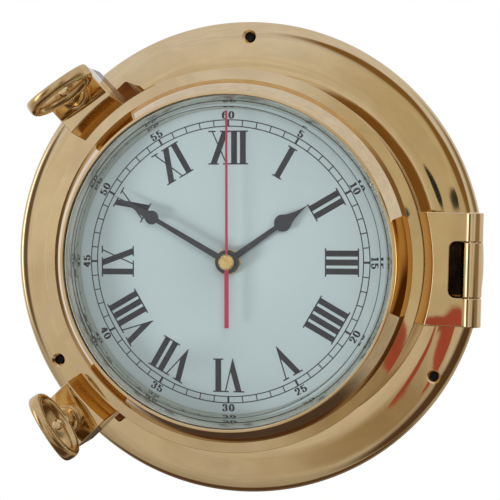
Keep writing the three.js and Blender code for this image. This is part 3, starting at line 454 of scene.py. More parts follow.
EAR_ANGLES = {"upper": 134, "lower": 226}
EAR_HALF, EAR_END, ROOT = 12.5, 111.0, 86.0
HINGE_X, HINGE_DEPTH, KNUCKLE, KNUCKLE_MIDDLE = 109.5, 52.0, 4.5, 12.0
ARM_DEPTHS = (24, 30, 40)
SCREW_CIRCLE, LUG_BORE, PIN_BORE = 104.0, 4.2, 2.3
LUG_CUT, DIAL_SCREW_CUT, PIN_CUT = (5.3, 45), (20, 45), (-40, 40)
FIXING_CIRCLE, FIXING_ANGLES = 107.7, (90, 210, 330)
FIXING_HOLE = ((0, -1, 0), (2.2, -1, 0), (2.2, 3.8, 0.15), (3.4, 5.0, 0.2), (4.0, 5.6, 0), (0, 5.6, 0))
DIAL_SCREW_CIRCLE, DIAL_SCREW_ANGLES, DIAL_SCREW_BORE = 72.1, (30, 150, 270), 1.2


def arc(x, y, across, up, start, end, steps=14):
    """Points on part of an oval, between two angles in degrees."""
    turns = (math.radians(start + (end - start) * k / steps) for k in range(steps + 1))
    return [Vector((x + across * math.cos(a), y + up * math.sin(a))) for a in turns]


def inner_edge(radius, half, steps):
    """The edge of a plan that follows the ring, from one side to the other."""
    offsets = (half - 2 * half * k / steps for k in range(steps + 1))
    return [Vector((math.sqrt(radius ** 2 - s ** 2), s)) for s in offsets]


def wide_plan(inner, outer, half, corner=1.6):
    """A plan that follows the ring inside and ends square outside, with eased outer corners."""
    plan = inner_edge(inner, half, 30)
    for turn, side in ((-90, -1), (0, 1)):
        plan += arc(outer - corner, side * (half - corner), corner, corner, turn, turn + 90, 5)
    return plan


def lug(angle):
    plan = wide_plan(ROOT, EAR_END, EAR_HALF)
    lean = (ARM_DEPTHS[1] - ARM_DEPTHS[0]) / (EAR_END - ROOT)
    back = [(p.x, p.y, ARM_DEPTHS[0] + lean * (p.x - ROOT)) for p in plan]
    return stacked("lug", (back, [(p.x, p.y, FRAME_FRONT) for p in plan]), at_angle(0, angle), edge=0.6)


def hinge_rod(name, radius, low, high, rounding=0.0, sides=64):
    """A rod along the hinge's axis."""
    place = Matrix.Translation((HINGE_X, -HINGE_DEPTH, 0))
    return turned(name, ring(0, radius, low, high, 0, rounding, rounding, 0), sides, place)


def hinge_arm():
    back = list(zip((ROOT, HINGE_X - KNUCKLE, HINGE_X + KNUCKLE), ARM_DEPTHS))
    round_end = arc(HINGE_X, HINGE_DEPTH, KNUCKLE, KNUCKLE, 0, 180, 30)
    outline = [*back, *round_end, (HINGE_X - KNUCKLE, FRAME_FRONT), (ROOT, FRAME_FRONT)]
    sides = [[(u, s, d) for u, d in outline] for s in (-KNUCKLE_MIDDLE, KNUCKLE_MIDDLE)]
    return stacked("hinge_arm", sides, edge=0.45)


def bore(radius, low, high, circle, angle):
    return turned("bore", ring(0, radius, low, high), 48, at_angle(circle, angle))


carved(
    wall_frame,
    join=[lug(EAR_ANGLES["upper"]), lug(EAR_ANGLES["lower"]), hinge_arm()],
    cut=[*(turned("hole", FIXING_HOLE, 48, at_angle(FIXING_CIRCLE, a)) for a in FIXING_ANGLES),
         *(bore(LUG_BORE, *LUG_CUT, SCREW_CIRCLE, a) for a in EAR_ANGLES.values()),
         *(bore(DIAL_SCREW_BORE, *DIAL_SCREW_CUT, DIAL_SCREW_CIRCLE, a) for a in DIAL_SCREW_ANGLES),
         hinge_rod("pin_bore", PIN_BORE, *PIN_CUT)])
# The inside and the back stay as cast. Painted shade: dark brown on the lugs' walls under the ears, near-black
# on the faces that the door and the dogs hide
HIDDEN_FROM, OUTSIDE, LUG_BACK, ARM_FRONT = FRAME_FRONT - 0.3, DRUM + 1, 22, 51
finish_with(wall_frame, polished_brass)
refinish(wall_frame, lug_shade_brass, lambda out, depth, face: (
    out > OUTSIDE and LUG_BACK < depth < HIDDEN_FROM and face.center.x < 0))
refinish(wall_frame, gap_shade_brass, lambda out, depth, face: (
    out > OUTSIDE and HIDDEN_FROM < depth < ARM_FRONT and face.center.x < (HINGE_X - KNUCKLE + 0.1) * MM))
refinish(wall_frame, cast_brass, lambda out, depth, face: (
    (out < DRUM_BORE + 0.3 and depth < LEDGE_BACK - 0.1) or depth < 0.05))
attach(wall_frame, "frame")
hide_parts("frame_casting")

# Dark discs just behind the three fixing holes are painted shade, seen through the holes
painted_hole_shade = plain_paint("painted_hole_shade", (0.035, 0.037, 0.045, 1), 0.9)
HOLE_SHADE_FORM = ring(0, 3.2, -0.6, -0.1)
for angle in FIXING_ANGLES:
    dark_disc = turned(f"wall_hole_{angle}", HOLE_SHADE_FORM, 32, at_angle(FIXING_CIRCLE, angle))
    finish_with(dark_disc, painted_hole_shade)


# Case gasket: a soft black rubber ring pressed into a groove in the frame's front, which the
# closed door bears on. It shows only while the door is open.
SEAL_INNER, SEAL_OUTER, SEAL_BACK = 82.6, 85.0, 38.4


def coated(name, low, high, tone_noise, gloss, gloss_noise, relief=0.0):
    """A paint or moulding of two tones and a range of roughness, with noises as (scale, detail,
    roughness) and the depth of its relief in millimetres."""
    material, tree, shader = new_material(name)
    at = tree.nodes.new("ShaderNodeTexCoord").outputs["Object"]
    tone = mixed(tree, noise_in(tree, at, *tone_noise), (*low, 1), (*high, 1))
    tree.links.new(tone, shader.inputs["Base Color"])
    grain = noise_in(tree, at, *gloss_noise)
    tree.links.new(ranged(tree, grain, 0.3, 0.7, *gloss), shader.inputs["Roughness"])
    if relief:
        tree.links.new(bumped(tree, grain, relief), shader.inputs["Normal"])
    return material


SPECKS = (1400, 4, 0.6)
rubber = coated("black_rubber", (0.010, 0.010, 0.011), (0.030, 0.030, 0.031), SPECKS, (0.62, 0.82), SPECKS)
case_seal = turned("case_seal", ring(SEAL_INNER, SEAL_OUTER, SEAL_BACK, FRAME_FRONT, 0.3, 0.3, 0.7, 0.7))
finish_with(case_seal, rubber)
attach(case_seal, "frame")
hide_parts("case_gasket")


# Movement: a bought battery movement in a moulded black case with a snapped-on cover, held to
# the dial by its threaded bush, with the cell, contacts, board, coil and stator in it.
black_plastic = coated("black_plastic", (0.016, 0.016, 0.018), (0.028, 0.028, 0.031), (60, 4), (0.38, 0.52),
                       (2600, 2), 0.01)


def eased(name, node, edge):
    """A copy of a plain solid with its corners merged and its edges eased."""
    form = bmesh.new()
    form.from_mesh(bpy.data.objects[node].data)
    bmesh.ops.remove_doubles(form, verts=form.verts, dist=0.01 * MM)
    bmesh.ops.dissolve_limit(form, angle_limit=math.radians(1), verts=form.verts, edges=form.edges)
    return smoothed(with_eased_edges(as_object(name, form), edge, 2, 40))


for name, node, edge in (("movement_shell", "movement_case", 0.35), ("movement_lid", "movement_cover", 0.4)):
    moulded = finish_with(eased(name, node, edge), black_plastic)
    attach(moulded, "frame")
    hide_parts(node)

pale_plastic = coated("pale_plastic", (0.70, 0.68, 0.62), (0.62, 0.60, 0.54), (300, 3), (0.35, 0.5), (1500, 2))
board_green = coated("board_green", (0.02, 0.14, 0.05), (0.04, 0.20, 0.08), (800, 2), (0.3, 0.5), (400, 2))
sheet_steel = metal("sheet_steel", (0.58, 0.58, 0.57), (0.46, 0.46, 0.46), (0.22, 0.38), 0.02, 0.004,
                    (120.0, 1500.0, 160.0))
copper_wire = metal("copper_wire", (0.62, 0.30, 0.16), (0.48, 0.20, 0.10), (0.25, 0.42), 0.0, 0.05,
                    (200.0, 3000.0, 300.0))
gold_brass = metal("gold_brass", (0.72, 0.50, 0.20), (0.62, 0.40, 0.14), (0.20, 0.34), 0.0, 0.006,
                   (90.0, 2600.0, 260.0))
INNER_FINISHES = {
    sheet_steel: ("stator", "battery_contact_positive", "battery_contact_negative",
                  "dial_screw_1", "dial_screw_2", "dial_screw_3"),
    copper_wire: ("coil",),
    board_green: ("circuit_board",),
    rubber: ("rubber_washer",),
    gold_brass: ("threaded_bush",),
    pale_plastic: ("hour_wheel", "cannon_pinion", "second_wheel", "motion_wheel"),
}
for material, nodes in INNER_FINISHES.items():
    for node in nodes:
        finish_with(bpy.data.objects[node], material)

# The cell is drawn steel in a printed sleeve, lying in its bay at the bottom of the case
sleeve, tree, shader = new_material("battery_sleeve")
at = tree.nodes.new("ShaderNodeTexCoord").outputs["Object"]
along = tree.nodes.new("ShaderNodeSeparateXYZ")
tree.links.new(at, along.inputs[0])
band = ranged(tree, along.outputs["X"], 0.0120, 0.0122, 0, 1)
scuff = noise_in(tree, at, 500, 4, 0.6)
blue = mixed(tree, scuff, (0.030, 0.050, 0.105, 1), (0.045, 0.070, 0.140, 1))
tree.links.new(mixed(tree, band, blue, (0.50, 0.36, 0.16, 1)), shader.inputs["Base Color"])
tree.links.new(ranged(tree, scuff, 0.3, 0.7, 0.22, 0.4), shader.inputs["Roughness"])
CELL_TIP, CELL_TIP_RADIUS = 1.4, 2.6
cell_low, cell_high = (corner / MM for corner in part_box("battery"))
cell_radius = (cell_high.z - cell_low.z) / 2
cell_place = Matrix.Translation((0, (cell_low.y + cell_high.y) / 2, (cell_low.z + cell_high.z) / 2)) \
    @ Matrix.Rotation(math.pi / 2, 4, "Y")
cell = turned("cell", (
    (0, cell_low.x, 0), (cell_radius, cell_low.x, 0.8), (cell_radius, cell_high.x - CELL_TIP, 0.9),
    (CELL_TIP_RADIUS, cell_high.x - CELL_TIP, 0.3), (CELL_TIP_RADIUS, cell_high.x, 0.4), (0, cell_high.x, 0)),
    64, cell_place)
finish_with(cell, sleeve)
cell.data.materials.append(sheet_steel)
for face in cell.data.polygons:
    off = face.center / MM - cell_place.translation
    if math.hypot(off.y, off.z) < cell_radius - 0.9:
        face.material_index = 1
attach(cell, "frame")
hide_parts("battery")


# Setting knob: a small moulded knob on the back of the movement, with ribs all round for the
# fingertips, pressed on the motion wheel's arbor.
KNOB_X, KNOB_BACK, KNOB_FRONT, KNOB_ROOT = 8.0, 22.1, 25.3, 4.05
KNOB_BOSS, KNOB_DISH, KNOB_DISH_DEPTH = 2.4, 2.7, 0.5
RIBS, RIB_LENGTH, RIB_WIDTH, RIB_SHORTER = 24, 0.8, 0.55, 0.8


def boxes_round(name, material, count, circle, length, width, bold, low, high, turn, x=0.0):
    """Boxes that a geometry tree stands round a circle about a forward axis, every fifth one bold."""
    tree = bpy.data.node_groups.new(name, "GeometryNodeTree")
    tree.interface.new_socket("Geometry", in_out="OUTPUT", socket_type="NodeSocketGeometry")

    def node(kind, **values):
        made = tree.nodes.new(kind)
        for label, value in values.items():
            feed(tree, made.inputs[label], value)
        return made

    spots = node("GeometryNodeMeshCircle", Vertices=count, Radius=circle * MM)
    box = node("GeometryNodeMeshCube", Size=(1, 1, 1))
    facing = node("FunctionNodeAlignRotationToVector", Vector=node("GeometryNodeInputPosition").outputs[0])
    facing.axis = "X"
    fifth = combined(tree, "MODULO", node("GeometryNodeInputIndex").outputs[0], 5.0)
    plain = combined(tree, "GREATER_THAN", fifth, 0.5)
    across = combined(tree, "SUBTRACT", bold * MM, combined(tree, "MULTIPLY", (bold - width) * MM, plain))
    size = node("ShaderNodeCombineXYZ", X=length * MM, Y=across, Z=(high - low) * MM)
    stand = node("GeometryNodeInstanceOnPoints", Points=spots.outputs["Mesh"], Instance=box.outputs["Mesh"],
                 Rotation=facing.outputs["Rotation"], Scale=size.outputs[0])
    real = node("GeometryNodeRealizeInstances", Geometry=stand.outputs["Instances"])
    moved = node("GeometryNodeTransform", Geometry=real.outputs["Geometry"], Rotation=(math.pi / 2, turn, 0),
                 Translation=(x * MM, -(low + high) / 2 * MM, 0))
    dress = node("GeometryNodeSetMaterial", Geometry=moved.outputs["Geometry"], Material=material)
    tree.links.new(dress.outputs["Geometry"], tree.nodes.new("NodeGroupOutput").inputs[0])
    piece = as_object(name, bmesh.new())
    piece.modifiers.new("growth", "NODES").node_group = tree
    return baked(piece)


setting_knob = turned("knob", (
    (0, KNOB_BACK, 0), (KNOB_BOSS, KNOB_BACK, 0.3), (KNOB_DISH, KNOB_BACK + KNOB_DISH_DEPTH, 0.2),
    (KNOB_ROOT, KNOB_BACK, 0.5), (KNOB_ROOT, KNOB_FRONT, 0.3), (0, KNOB_FRONT, 0)),
    64, FACING @ Matrix.Translation((KNOB_X, 0, 0)))
finish_with(setting_knob, black_plastic)
knob_ribs = boxes_round(
    "knob_ribs", black_plastic, RIBS, KNOB_ROOT, RIB_LENGTH, RIB_WIDTH, RIB_WIDTH,
    KNOB_BACK + RIB_SHORTER / 2, KNOB_FRONT - RIB_SHORTER / 2, 0.0, KNOB_X)
for part in (setting_knob, knob_ribs):
    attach(part, "setting_train")
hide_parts("setting_knob")


# Dial: a thin enamelled metal disc, pale blue-grey, resting on the frame's ledge. The
# print on it is black: minute track, minute numbers and Roman hours with their feet inwards.
DIAL_TURN = math.radians(1.4)
PRINT_BACK, PRINT_FRONT = DIAL_FACE - 0.02, DIAL_FACE + 0.03
DIAL_BACK, DIAL_HOLE, DIAL_RADIUS = 44.2, 4.1, 74.5
enamel = coated("dial_enamel", (0.56, 0.685, 0.70), (0.60, 0.715, 0.73), (30, 3), (0.36, 0.46), (240, 3))
enamel.node_tree.nodes["Principled BSDF"].inputs["Specular IOR Level"].default_value = 0.35
dial_plate = turned(
    "dial_plate", ring(DIAL_HOLE, DIAL_RADIUS, DIAL_BACK, DIAL_FACE, 0.1, 0.1, 0.15, 0.1), 192, steps=2)
finish_with(dial_plate, enamel)
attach(dial_plate, "frame")
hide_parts("dial")

# Each layer of print lies a little higher than the one it crosses
TRACK_OUTER, TRACK_INNER, TRACK_LINE, HOUR_TICK = 64.6, 61.7, 0.48, 1.0
PRINT_LAYER = 0.004
dial_ink = coated("dial_ink", (0.008, 0.008, 0.011), (0.014, 0.013, 0.017), (700, 3), (0.42, 0.56), (900, 2))
minute_ticks = boxes_round(
    "minute_ticks", dial_ink, 60, (TRACK_OUTER + TRACK_INNER) / 2, TRACK_OUTER - TRACK_INNER,
    TRACK_LINE, HOUR_TICK, PRINT_BACK, PRINT_FRONT, -DIAL_TURN)
track_lines = [
    turned(f"track_line_{label}",
           ring(radius - TRACK_LINE / 2, radius + TRACK_LINE / 2, PRINT_BACK, PRINT_FRONT + PRINT_LAYER), 240)
    for label, radius in (("outer", TRACK_OUTER), ("inner", TRACK_INNER))]

# Roman hours: each letter is a set of strokes across its height, thick, thin or a serif
HOUR_FOOT, HOUR_TOP = 44.3, 59.7
STEM, HAIR, SERIF = 2.72, 0.57, 0.63
LETTER_WIDTH = {"I": 4.05, "V": 9.4, "X": 9.6}
I_OVERHANG = 0.35
V_STEM, V_HAIR, V_TIP, V_SERIFS = 1.9, 1.3, 4.6, (2.5, 1.5)
X_STEM, X_HAIR, X_HAIR_END, X_SERIFS = 2.1, 1.5, 1.4, (2.4, 1.7)
NUMERALS = ("XII", "I", "II", "III", "IIII", "V", "VI", "VII", "VIII", "IX", "X", "XI")
MIRRORED_CROSS = ("XI", "XII")


def raised_plan(form, plan, place, layer):
    """A closed form over a flat outline, raised from the dial by the layers below it."""
    low = [form.verts.new(place @ Vector((x, y, PRINT_BACK))) for x, y in plan]
    high = [form.verts.new(place @ Vector((x, y, PRINT_FRONT + layer * PRINT_LAYER))) for x, y in plan]
    for i in range(len(plan)):
        form.faces.new((low[i - 1], low[i], high[i], high[i - 1]))
    form.faces.new(low)
    form.faces.new(high)


def bar(form, x0, x1, y, width, place, layer):
    """A level bar."""
    half = width / 2
    raised_plan(form, ((x0, y - half), (x1, y - half), (x1, y + half), (x0, y + half)), place, layer)


def stroke(form, foot, top, width, place, layer):
    """A leaning bar between two points of a numeral, cut level at its ends."""
    (x0, y0), (x1, y1) = foot, top
    half = width / 2 * math.hypot(x1 - x0, y1 - y0) / (y1 - y0)
    raised_plan(form, ((x0 - half, y0), (x0 + half, y0), (x1 + half, y1), (x1 - half, y1)), place, layer)


def letter(form, sign, x, place, mirrored):
    """One letter; its stems and hairlines are set in from its sides, and serifs end them."""
    width = LETTER_WIDTH[sign]
    low, high = HOUR_FOOT + SERIF / 2, HOUR_TOP - SERIF / 2
    if sign == "I":
        middle = x + width / 2
        stroke(form, (middle, low), (middle, high), STEM, place, 2)
        serifs = [(middle, level, width / 2 + I_OVERHANG) for level in (low, high)]
    elif sign == "V":
        stem, hair, tip = x + V_STEM, x + width - V_HAIR, x + V_TIP
        outer = stem - STEM / 2
        share = STEM / (hair - outer)
        fork = (tip + (hair - tip) * share, HOUR_FOOT + (high - HOUR_FOOT) * share)
        raised_plan(form, ((tip, HOUR_FOOT), fork, (outer + STEM, high), (outer, high)), place, 2)
        stroke(form, (tip, HOUR_FOOT), (hair, high), HAIR, place, 1)
        serifs = [(stem, high, V_SERIFS[0]), (hair, high, V_SERIFS[1])]
    else:
        top, foot = (low, high) if mirrored else (high, low)
        end = x + width
        for ends, thick, layer in ((((x + X_STEM, top), (end - X_STEM, foot)), STEM, 2),
                                   (((end - X_HAIR, top), (x + X_HAIR, foot)), HAIR, 1)):
            stroke(form, *sorted(ends, key=lambda point: point[1]), thick, place, layer)
        serifs = [(x + X_STEM, top, X_SERIFS[0]), (end - X_HAIR_END, top, X_SERIFS[1]),
                  (x + X_HAIR_END, foot, X_SERIFS[1]), (end - X_STEM, foot, X_SERIFS[0])]
    for middle, level, half in serifs:
        bar(form, middle - half, middle + half, level, SERIF, place, 0)


hours_form = bmesh.new()
for hour, signs in enumerate(NUMERALS):
    place = FACING @ Matrix.Rotation(DIAL_TURN - math.radians(30 * hour), 4, "Z")
    x = -sum(LETTER_WIDTH[sign] for sign in signs) / 2
    for sign in signs:
        letter(hours_form, sign, x, place, signs in MIRRORED_CROSS)
        x += LETTER_WIDTH[sign]
hour_numerals = shaped("hour_numerals", hours_form, merged=False)

# Minute numbers stand outside the track; those on the lower half read from the outside
# and their digits are pen strokes, fat where they run upright and fine where they run level
NUMBER_CIRCLE, NUMBER_HEIGHT, DIGIT_WIDTH, DIGIT_STEP = 66.8, 3.3, 2.7, 3.05
PEN_FAT, PEN_FINE, PEN_BALL = 1.05, 0.38, 0.48
# Each digit, in shares of its width and height: pen paths, level bars as (left, right, level)
# and the centres of round ends
DIGITS = {
    "0": ((arc(0.5, 0.5, 0.33, 0.46, 0, 360, 32),), (), ()),
    "1": (([(0.52, 0.02), (0.52, 0.98)], [(0.50, 0.97), (0.36, 0.86), (0.20, 0.82)]),
          ((0.18, 0.86, 0.04),), ()),
    "2": ((arc(0.48, 0.70, 0.30, 0.27, 165, -35) + [(0.55, 0.36), (0.14, 0.07)],),
          ((0.10, 0.88, 0.07),), ((0.25, 0.72),)),
    "3": ((arc(0.44, 0.74, 0.29, 0.23, 160, -90), arc(0.44, 0.27, 0.33, 0.245, 90, -155)), (),
          ((0.23, 0.77), (0.21, 0.22))),
    "4": (([(0.64, 0.02), (0.64, 0.98)], [(0.60, 0.97), (0.08, 0.30)]),
          ((0.06, 0.94, 0.28), (0.40, 0.88, 0.04)), ()),
    "5": ((arc(0.46, 0.31, 0.34, 0.28, 140, -155), [(0.21, 0.50), (0.24, 0.96)]),
          ((0.20, 0.84, 0.91),), ((0.22, 0.24),)),
    "6": ((arc(0.5, 0.30, 0.31, 0.27, 0, 360, 28), arc(0.62, 0.42, 0.44, 0.55, 62, 185)), (), ((0.76, 0.80),)),
}


def pen_sides(path):
    """The two sides of a pen stroke along a path of points in millimetres."""
    closed = (Vector(path[0]) - Vector(path[-1])).length < 1e-4
    left, right = [], []
    for i, point in enumerate(path):
        before, after = path[max(i - 1, 0)], path[min(i + 1, len(path) - 1)]
        if closed and i in (0, len(path) - 1):
            before, after = path[-2], path[1]
        along = (Vector(after) - Vector(before)).normalized()
        half = (PEN_FINE + (PEN_FAT - PEN_FINE) * abs(along.y) ** 1.6) / 2
        side = Vector((-along.y, along.x)) * half
        left.append(Vector(point) + side)
        right.append(Vector(point) - side)
    return left, right


def digit(form, sign, place):
    paths, bars, balls = DIGITS[sign]
    for path in paths:
        left, right = pen_sides([(x * DIGIT_WIDTH, y * NUMBER_HEIGHT) for x, y in path])
        for i in range(len(left) - 1):
            raised_plan(form, (left[i], left[i + 1], right[i + 1], right[i]), place, 0)
    for start, end, level in bars:
        bar(form, start * DIGIT_WIDTH, end * DIGIT_WIDTH, level * NUMBER_HEIGHT, PEN_FINE, place, 1)
    for x, y in balls:
        spot = arc(x * DIGIT_WIDTH, y * NUMBER_HEIGHT, PEN_BALL, PEN_BALL, 0, 330, 11)
        raised_plan(form, spot, place, 2)


numbers_form = bmesh.new()
for minute in range(5, 61, 5):
    signs = str(minute)
    upright = 0 if minute >= 45 or minute <= 15 else math.pi
    spin = Matrix.Rotation(DIAL_TURN - math.radians(6 * minute), 4, "Z")
    stand = FACING @ spin @ Matrix.Translation((0, NUMBER_CIRCLE, 0)) @ Matrix.Rotation(upright, 4, "Z")
    for k, sign in enumerate(signs):
        shift = (k - len(signs) / 2) * DIGIT_STEP + (DIGIT_STEP - DIGIT_WIDTH) / 2
        digit(numbers_form, sign, stand @ Matrix.Translation((shift, -NUMBER_HEIGHT / 2, 0)))
minute_numbers = shaped("minute_numbers", numbers_form, merged=False)

for marking in (minute_ticks, *track_lines, hour_numerals, minute_numbers):
    finish_with(marking, dial_ink)
    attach(marking, "frame")


# Dial ring: a spun ring, plated and polished inside, that covers the dial's edge and reflects
# the minute numbers. Three screws from behind the ledge hold it.
RING_BACK, RING_STEP, RING_FRONT = 45.3, 46.7, 49.0
RING_FOOT, RING_MOUTH, RING_WAIST = 69.7, 71.6, 73.8
plated_ring = metal("plated_ring", (0.66, 0.63, 0.56), (0.62, 0.59, 0.52), (0.02, 0.05), 0.0, 0.0003)
dial_surround = turned("dial_surround", (
    (RING_FOOT, RING_BACK, 0.04), (DIAL_RADIUS, RING_BACK, 0.2), (DIAL_RADIUS, RING_STEP, 0.2),
    (RING_WAIST, RING_STEP, 0.2), (RING_WAIST, RING_FRONT, 0.2), (RING_MOUTH, RING_FRONT, 0.04)), 256)
finish_with(dial_surround, plated_ring)
# The ring's outer faces, in the gap under the glass keeper, are painted near-black as shade
refinish(dial_surround, gap_shade_brass, lambda out, depth, face: out > RING_MOUTH)
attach(dial_surround, "frame")
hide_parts("dial_ring")


# Nut and hands: the gold nut clamps the movement to the dial. The hands are stamped sheet,
# black for hours and minutes and crimson for seconds, pushed on their pipes under a brass cap.
NUT_FLATS, NUT_BACK, NUT_FRONT, NUT_BORE = 10.8, 45.3, 46.4, 4.1
HAND_CUT = (40, 55)
nut_corner = NUT_FLATS / 2 / math.cos(math.pi / 6)
nut_plan = arc(0, 0, nut_corner, nut_corner, 0, 300, 5)
nut_layers = [[(p.x, p.y, depth) for p in nut_plan] for depth in (NUT_BACK, NUT_FRONT)]
bush_nut = stacked("bush_nut", nut_layers, edge=0.25)
carved(bush_nut, cut=[bore(NUT_BORE, *HAND_CUT, 0, 0)])
finish_with(bush_nut, gold_brass)
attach(bush_nut, "frame")
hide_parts("dial_nut")

TONES, PEEL, PEEL_DEPTH = (260, 4), (1100, 2), 0.006
hand_black = coated("hand_black", (0.014, 0.014, 0.018), (0.024, 0.023, 0.029), TONES, (0.30, 0.42), PEEL,
                    PEEL_DEPTH)
hand_red = coated("hand_red", (0.44, 0.020, 0.055), (0.52, 0.030, 0.070), TONES, (0.28, 0.40), PEEL, PEEL_DEPTH)


def curve_between(start, pull, end, steps=12):
    return [start.lerp(pull, k / steps).lerp(pull.lerp(end, k / steps), k / steps) for k in range(steps + 1)]


def spade_plan(length, bulb_at, bulb, hub, root, neck, tip, tip_pull=1.6):
    """A spade hand that points up: hub, tapering stem, round bulb and drawn-out tip."""
    hub_gap, bulb_gap = math.degrees(math.asin(root / hub)), math.degrees(math.asin(neck / bulb))
    plan = arc(0, 0, hub, hub, 90 + hub_gap, 450 - hub_gap, 40)
    plan += arc(0, bulb_at, bulb, bulb, bulb_gap - 90, 45, 24)
    right = plan[-1]
    point = Vector((0, length))
    pull = Vector((tip, bulb_at + tip_pull * bulb))
    plan += curve_between(right, pull, point)[1:]
    mirror = Vector((-1, 1))
    plan += curve_between(point, pull * mirror, right * mirror)[1:]
    plan += arc(0, bulb_at, bulb, bulb, 135, 270 - bulb_gap, 24)[1:]
    return plan


def second_plan(length, tail, hub, front, end, back):
    """A second hand that points up: a tapering pointer, a round hub and a straight tail."""
    right = arc(0, 0, hub, hub, -math.degrees(math.acos(back / hub)), math.degrees(math.acos(front / hub)), 24)
    left = [Vector((-p.x, p.y)) for p in reversed(right)]
    tail_end = (Vector((-back, -tail)), Vector((back, -tail)))
    tip = (Vector((end, length)), Vector((-end, length)))
    return [*tail_end, *right, *tip, *left]


HOUR_PLAN = spade_plan(length=46.0, bulb_at=30.9, bulb=3.9, hub=4.6, root=1.45, neck=1.1, tip=0.75)
MINUTE_PLAN = spade_plan(length=61.0, bulb_at=40.5, bulb=3.2, hub=5.5, root=1.4, neck=1.05, tip=1.0)
SECOND_PLAN = second_plan(length=68.6, tail=30.0, hub=2.6, front=0.6, end=0.5, back=1.0)
# Each hand: plan, depths of its back and front, degrees on the dial, hole, paint, node, body and slot
HANDS = (
    ("hour_pointer", HOUR_PLAN, 46.7, 47.2, 55, 2.8, hand_black, "hour_hand", "hour_train", "hand_black"),
    ("minute_pointer", MINUTE_PLAN, 47.9, 48.4, 300, 1.8, hand_black, "minute_hand", "minute_train",
     "hand_black"),
    ("second_pointer", SECOND_PLAN, 49.1, 49.5, 0, 0.8, hand_red, "second_hand", "second_train", "hand_red"),
)
for name, plan, back, front, clock, hole, material, node, body, finish in HANDS:
    spin = FACING @ Matrix.Rotation(DIAL_TURN - math.radians(clock), 4, "Z")
    hand = stacked(name, [[(p.x, p.y, d) for p in plan] for d in (back, front)], spin, edge=0.12, segments=2)
    carved(hand, cut=[bore(hole, *HAND_CUT, 0, 0)])
    finish_with(hand, material)
    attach(hand, body)
    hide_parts(node)

cap_brass = metal("cap_brass", (0.66, 0.47, 0.19), (0.52, 0.35, 0.13), (0.22, 0.36), 0.0, 0.02,
                  (90.0, 2200.0, 420.0))
CAP_BACK, CAP_EDGE, CAP_FRONT, CAP_RADIUS, CAP_FLAT = 49.8, 50.25, 51.0, 3.65, 2.95
hand_cap = turned("hand_cap", (
    (0, CAP_BACK, 0), (CAP_RADIUS, CAP_BACK, 0.15), (CAP_RADIUS, CAP_EDGE, 0.15), (CAP_FLAT, CAP_FRONT, 0.2),
    (0, CAP_FRONT, 0)), 64)
finish_with(hand_cap, cap_brass)
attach(hand_cap, "second_train")
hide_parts("second_cap")


# Bezel door: a second brass casting, turned with a lip, a cone and a flat ledge round its window,
# with two ears for the dogs and a notched hinge plate. It is polished all over and closes on
# the frame.
LIP, LIP_FLAT, CONE_FOOT, RIM = 75.2, 76.6, 80.8, 88.2
BEZEL_BORE, BEZEL_LEDGE, BEZEL_LEDGE_RISE = 79.3, 83.4, 0.12
PARTING, CREASE, CONE_DEPTH, LIP_FRONT, LIP_BACK = 40.5, 43.5, 50.0, 56.5, 55.3
EAR_FRONT, EAR_SLOPE, PLATE_FRONT, PLATE_HALF, PLATE_INNER = 56.0, 3.8, 54.5, 25.0, 92.7
NOTCH_X, NOTCH_HALF, KNUCKLE_LAP, WEB_DEPTH = 99.6, 12.3, 1.5, 7
GLASS_BACK, GLASS_BORE, KEEPER_SEAT, KEEPER_BACK = 52.8, 76.5, 77.9, 47.6
EAR_BORE, EAR_CUT, CLIP_BORE, CLIP_CUT = 4.1, (30, 70), 5.9, (30, 51.3)
bezel_door = turned("bezel_door", (
    (BEZEL_BORE, PARTING, 0.4),
    (RIM, PARTING, 0.35),
    (RIM, CREASE, 0.2),
    (BEZEL_LEDGE, CREASE + BEZEL_LEDGE_RISE, 0.15),
    (CONE_FOOT, CONE_DEPTH, 0),
    (LIP_FLAT, LIP_FRONT, 0.35),
    (LIP, LIP_FRONT, 0.4),
    (LIP, LIP_BACK, 0.15),
    (GLASS_BORE, LIP_BACK, 0),
    (GLASS_BORE, GLASS_BACK, 0.1),
    (KEEPER_SEAT, GLASS_BACK, 0),
    (KEEPER_SEAT, KEEPER_BACK, 0.3),
    (BEZEL_BORE, KEEPER_BACK, 0.4),
), sides=256)


def bezel_ear(angle):
    """An ear, whose inner wall leans outwards from the bezel's crease."""
    levels = ((PARTING, ROOT), (CREASE, RIM), (EAR_FRONT, RIM + EAR_SLOPE))
    layers = [[(p.x, p.y, depth) for p in wide_plan(inner, EAR_END, EAR_HALF)] for depth, inner in levels]
    return stacked("ear", layers, at_angle(0, angle), edge=0.5)


def plate_plan(inner, corner=3.0):
    """The hinge plate's plan: it follows the bezel inside and is notched for the middle knuckle."""
    plan = inner_edge(inner, PLATE_HALF, 48)
    outer = HINGE_X - KNUCKLE + KNUCKLE_LAP
    plan += [Vector((outer, -PLATE_HALF)), Vector((outer, -NOTCH_HALF))]
    for side, start in ((-1, -90), (1, 180)):
        plan += arc(NOTCH_X + corner, side * (NOTCH_HALF - corner), corner, corner, start, start - 90, 5)
    return plan + [Vector((outer, NOTCH_HALF)), Vector((outer, PLATE_HALF))]


def hinge_plate():
    levels = ((PARTING, ROOT), (CREASE, RIM), (PLATE_FRONT, PLATE_INNER))
    layers = [[(p.x, p.y, depth) for p in plate_plan(inner)] for depth, inner in levels]
    return stacked("plate", layers, edge=0.45)


def knuckle_web(low, high):
    inner = HINGE_X - KNUCKLE - KNUCKLE_LAP
    plan = ((inner, low), (HINGE_X, low), (HINGE_X, high), (inner, high))
    depths = (HINGE_DEPTH - WEB_DEPTH, HINGE_DEPTH)
    return stacked("web", [[(x, y, depth) for x, y in plan] for depth in depths], edge=0.3)


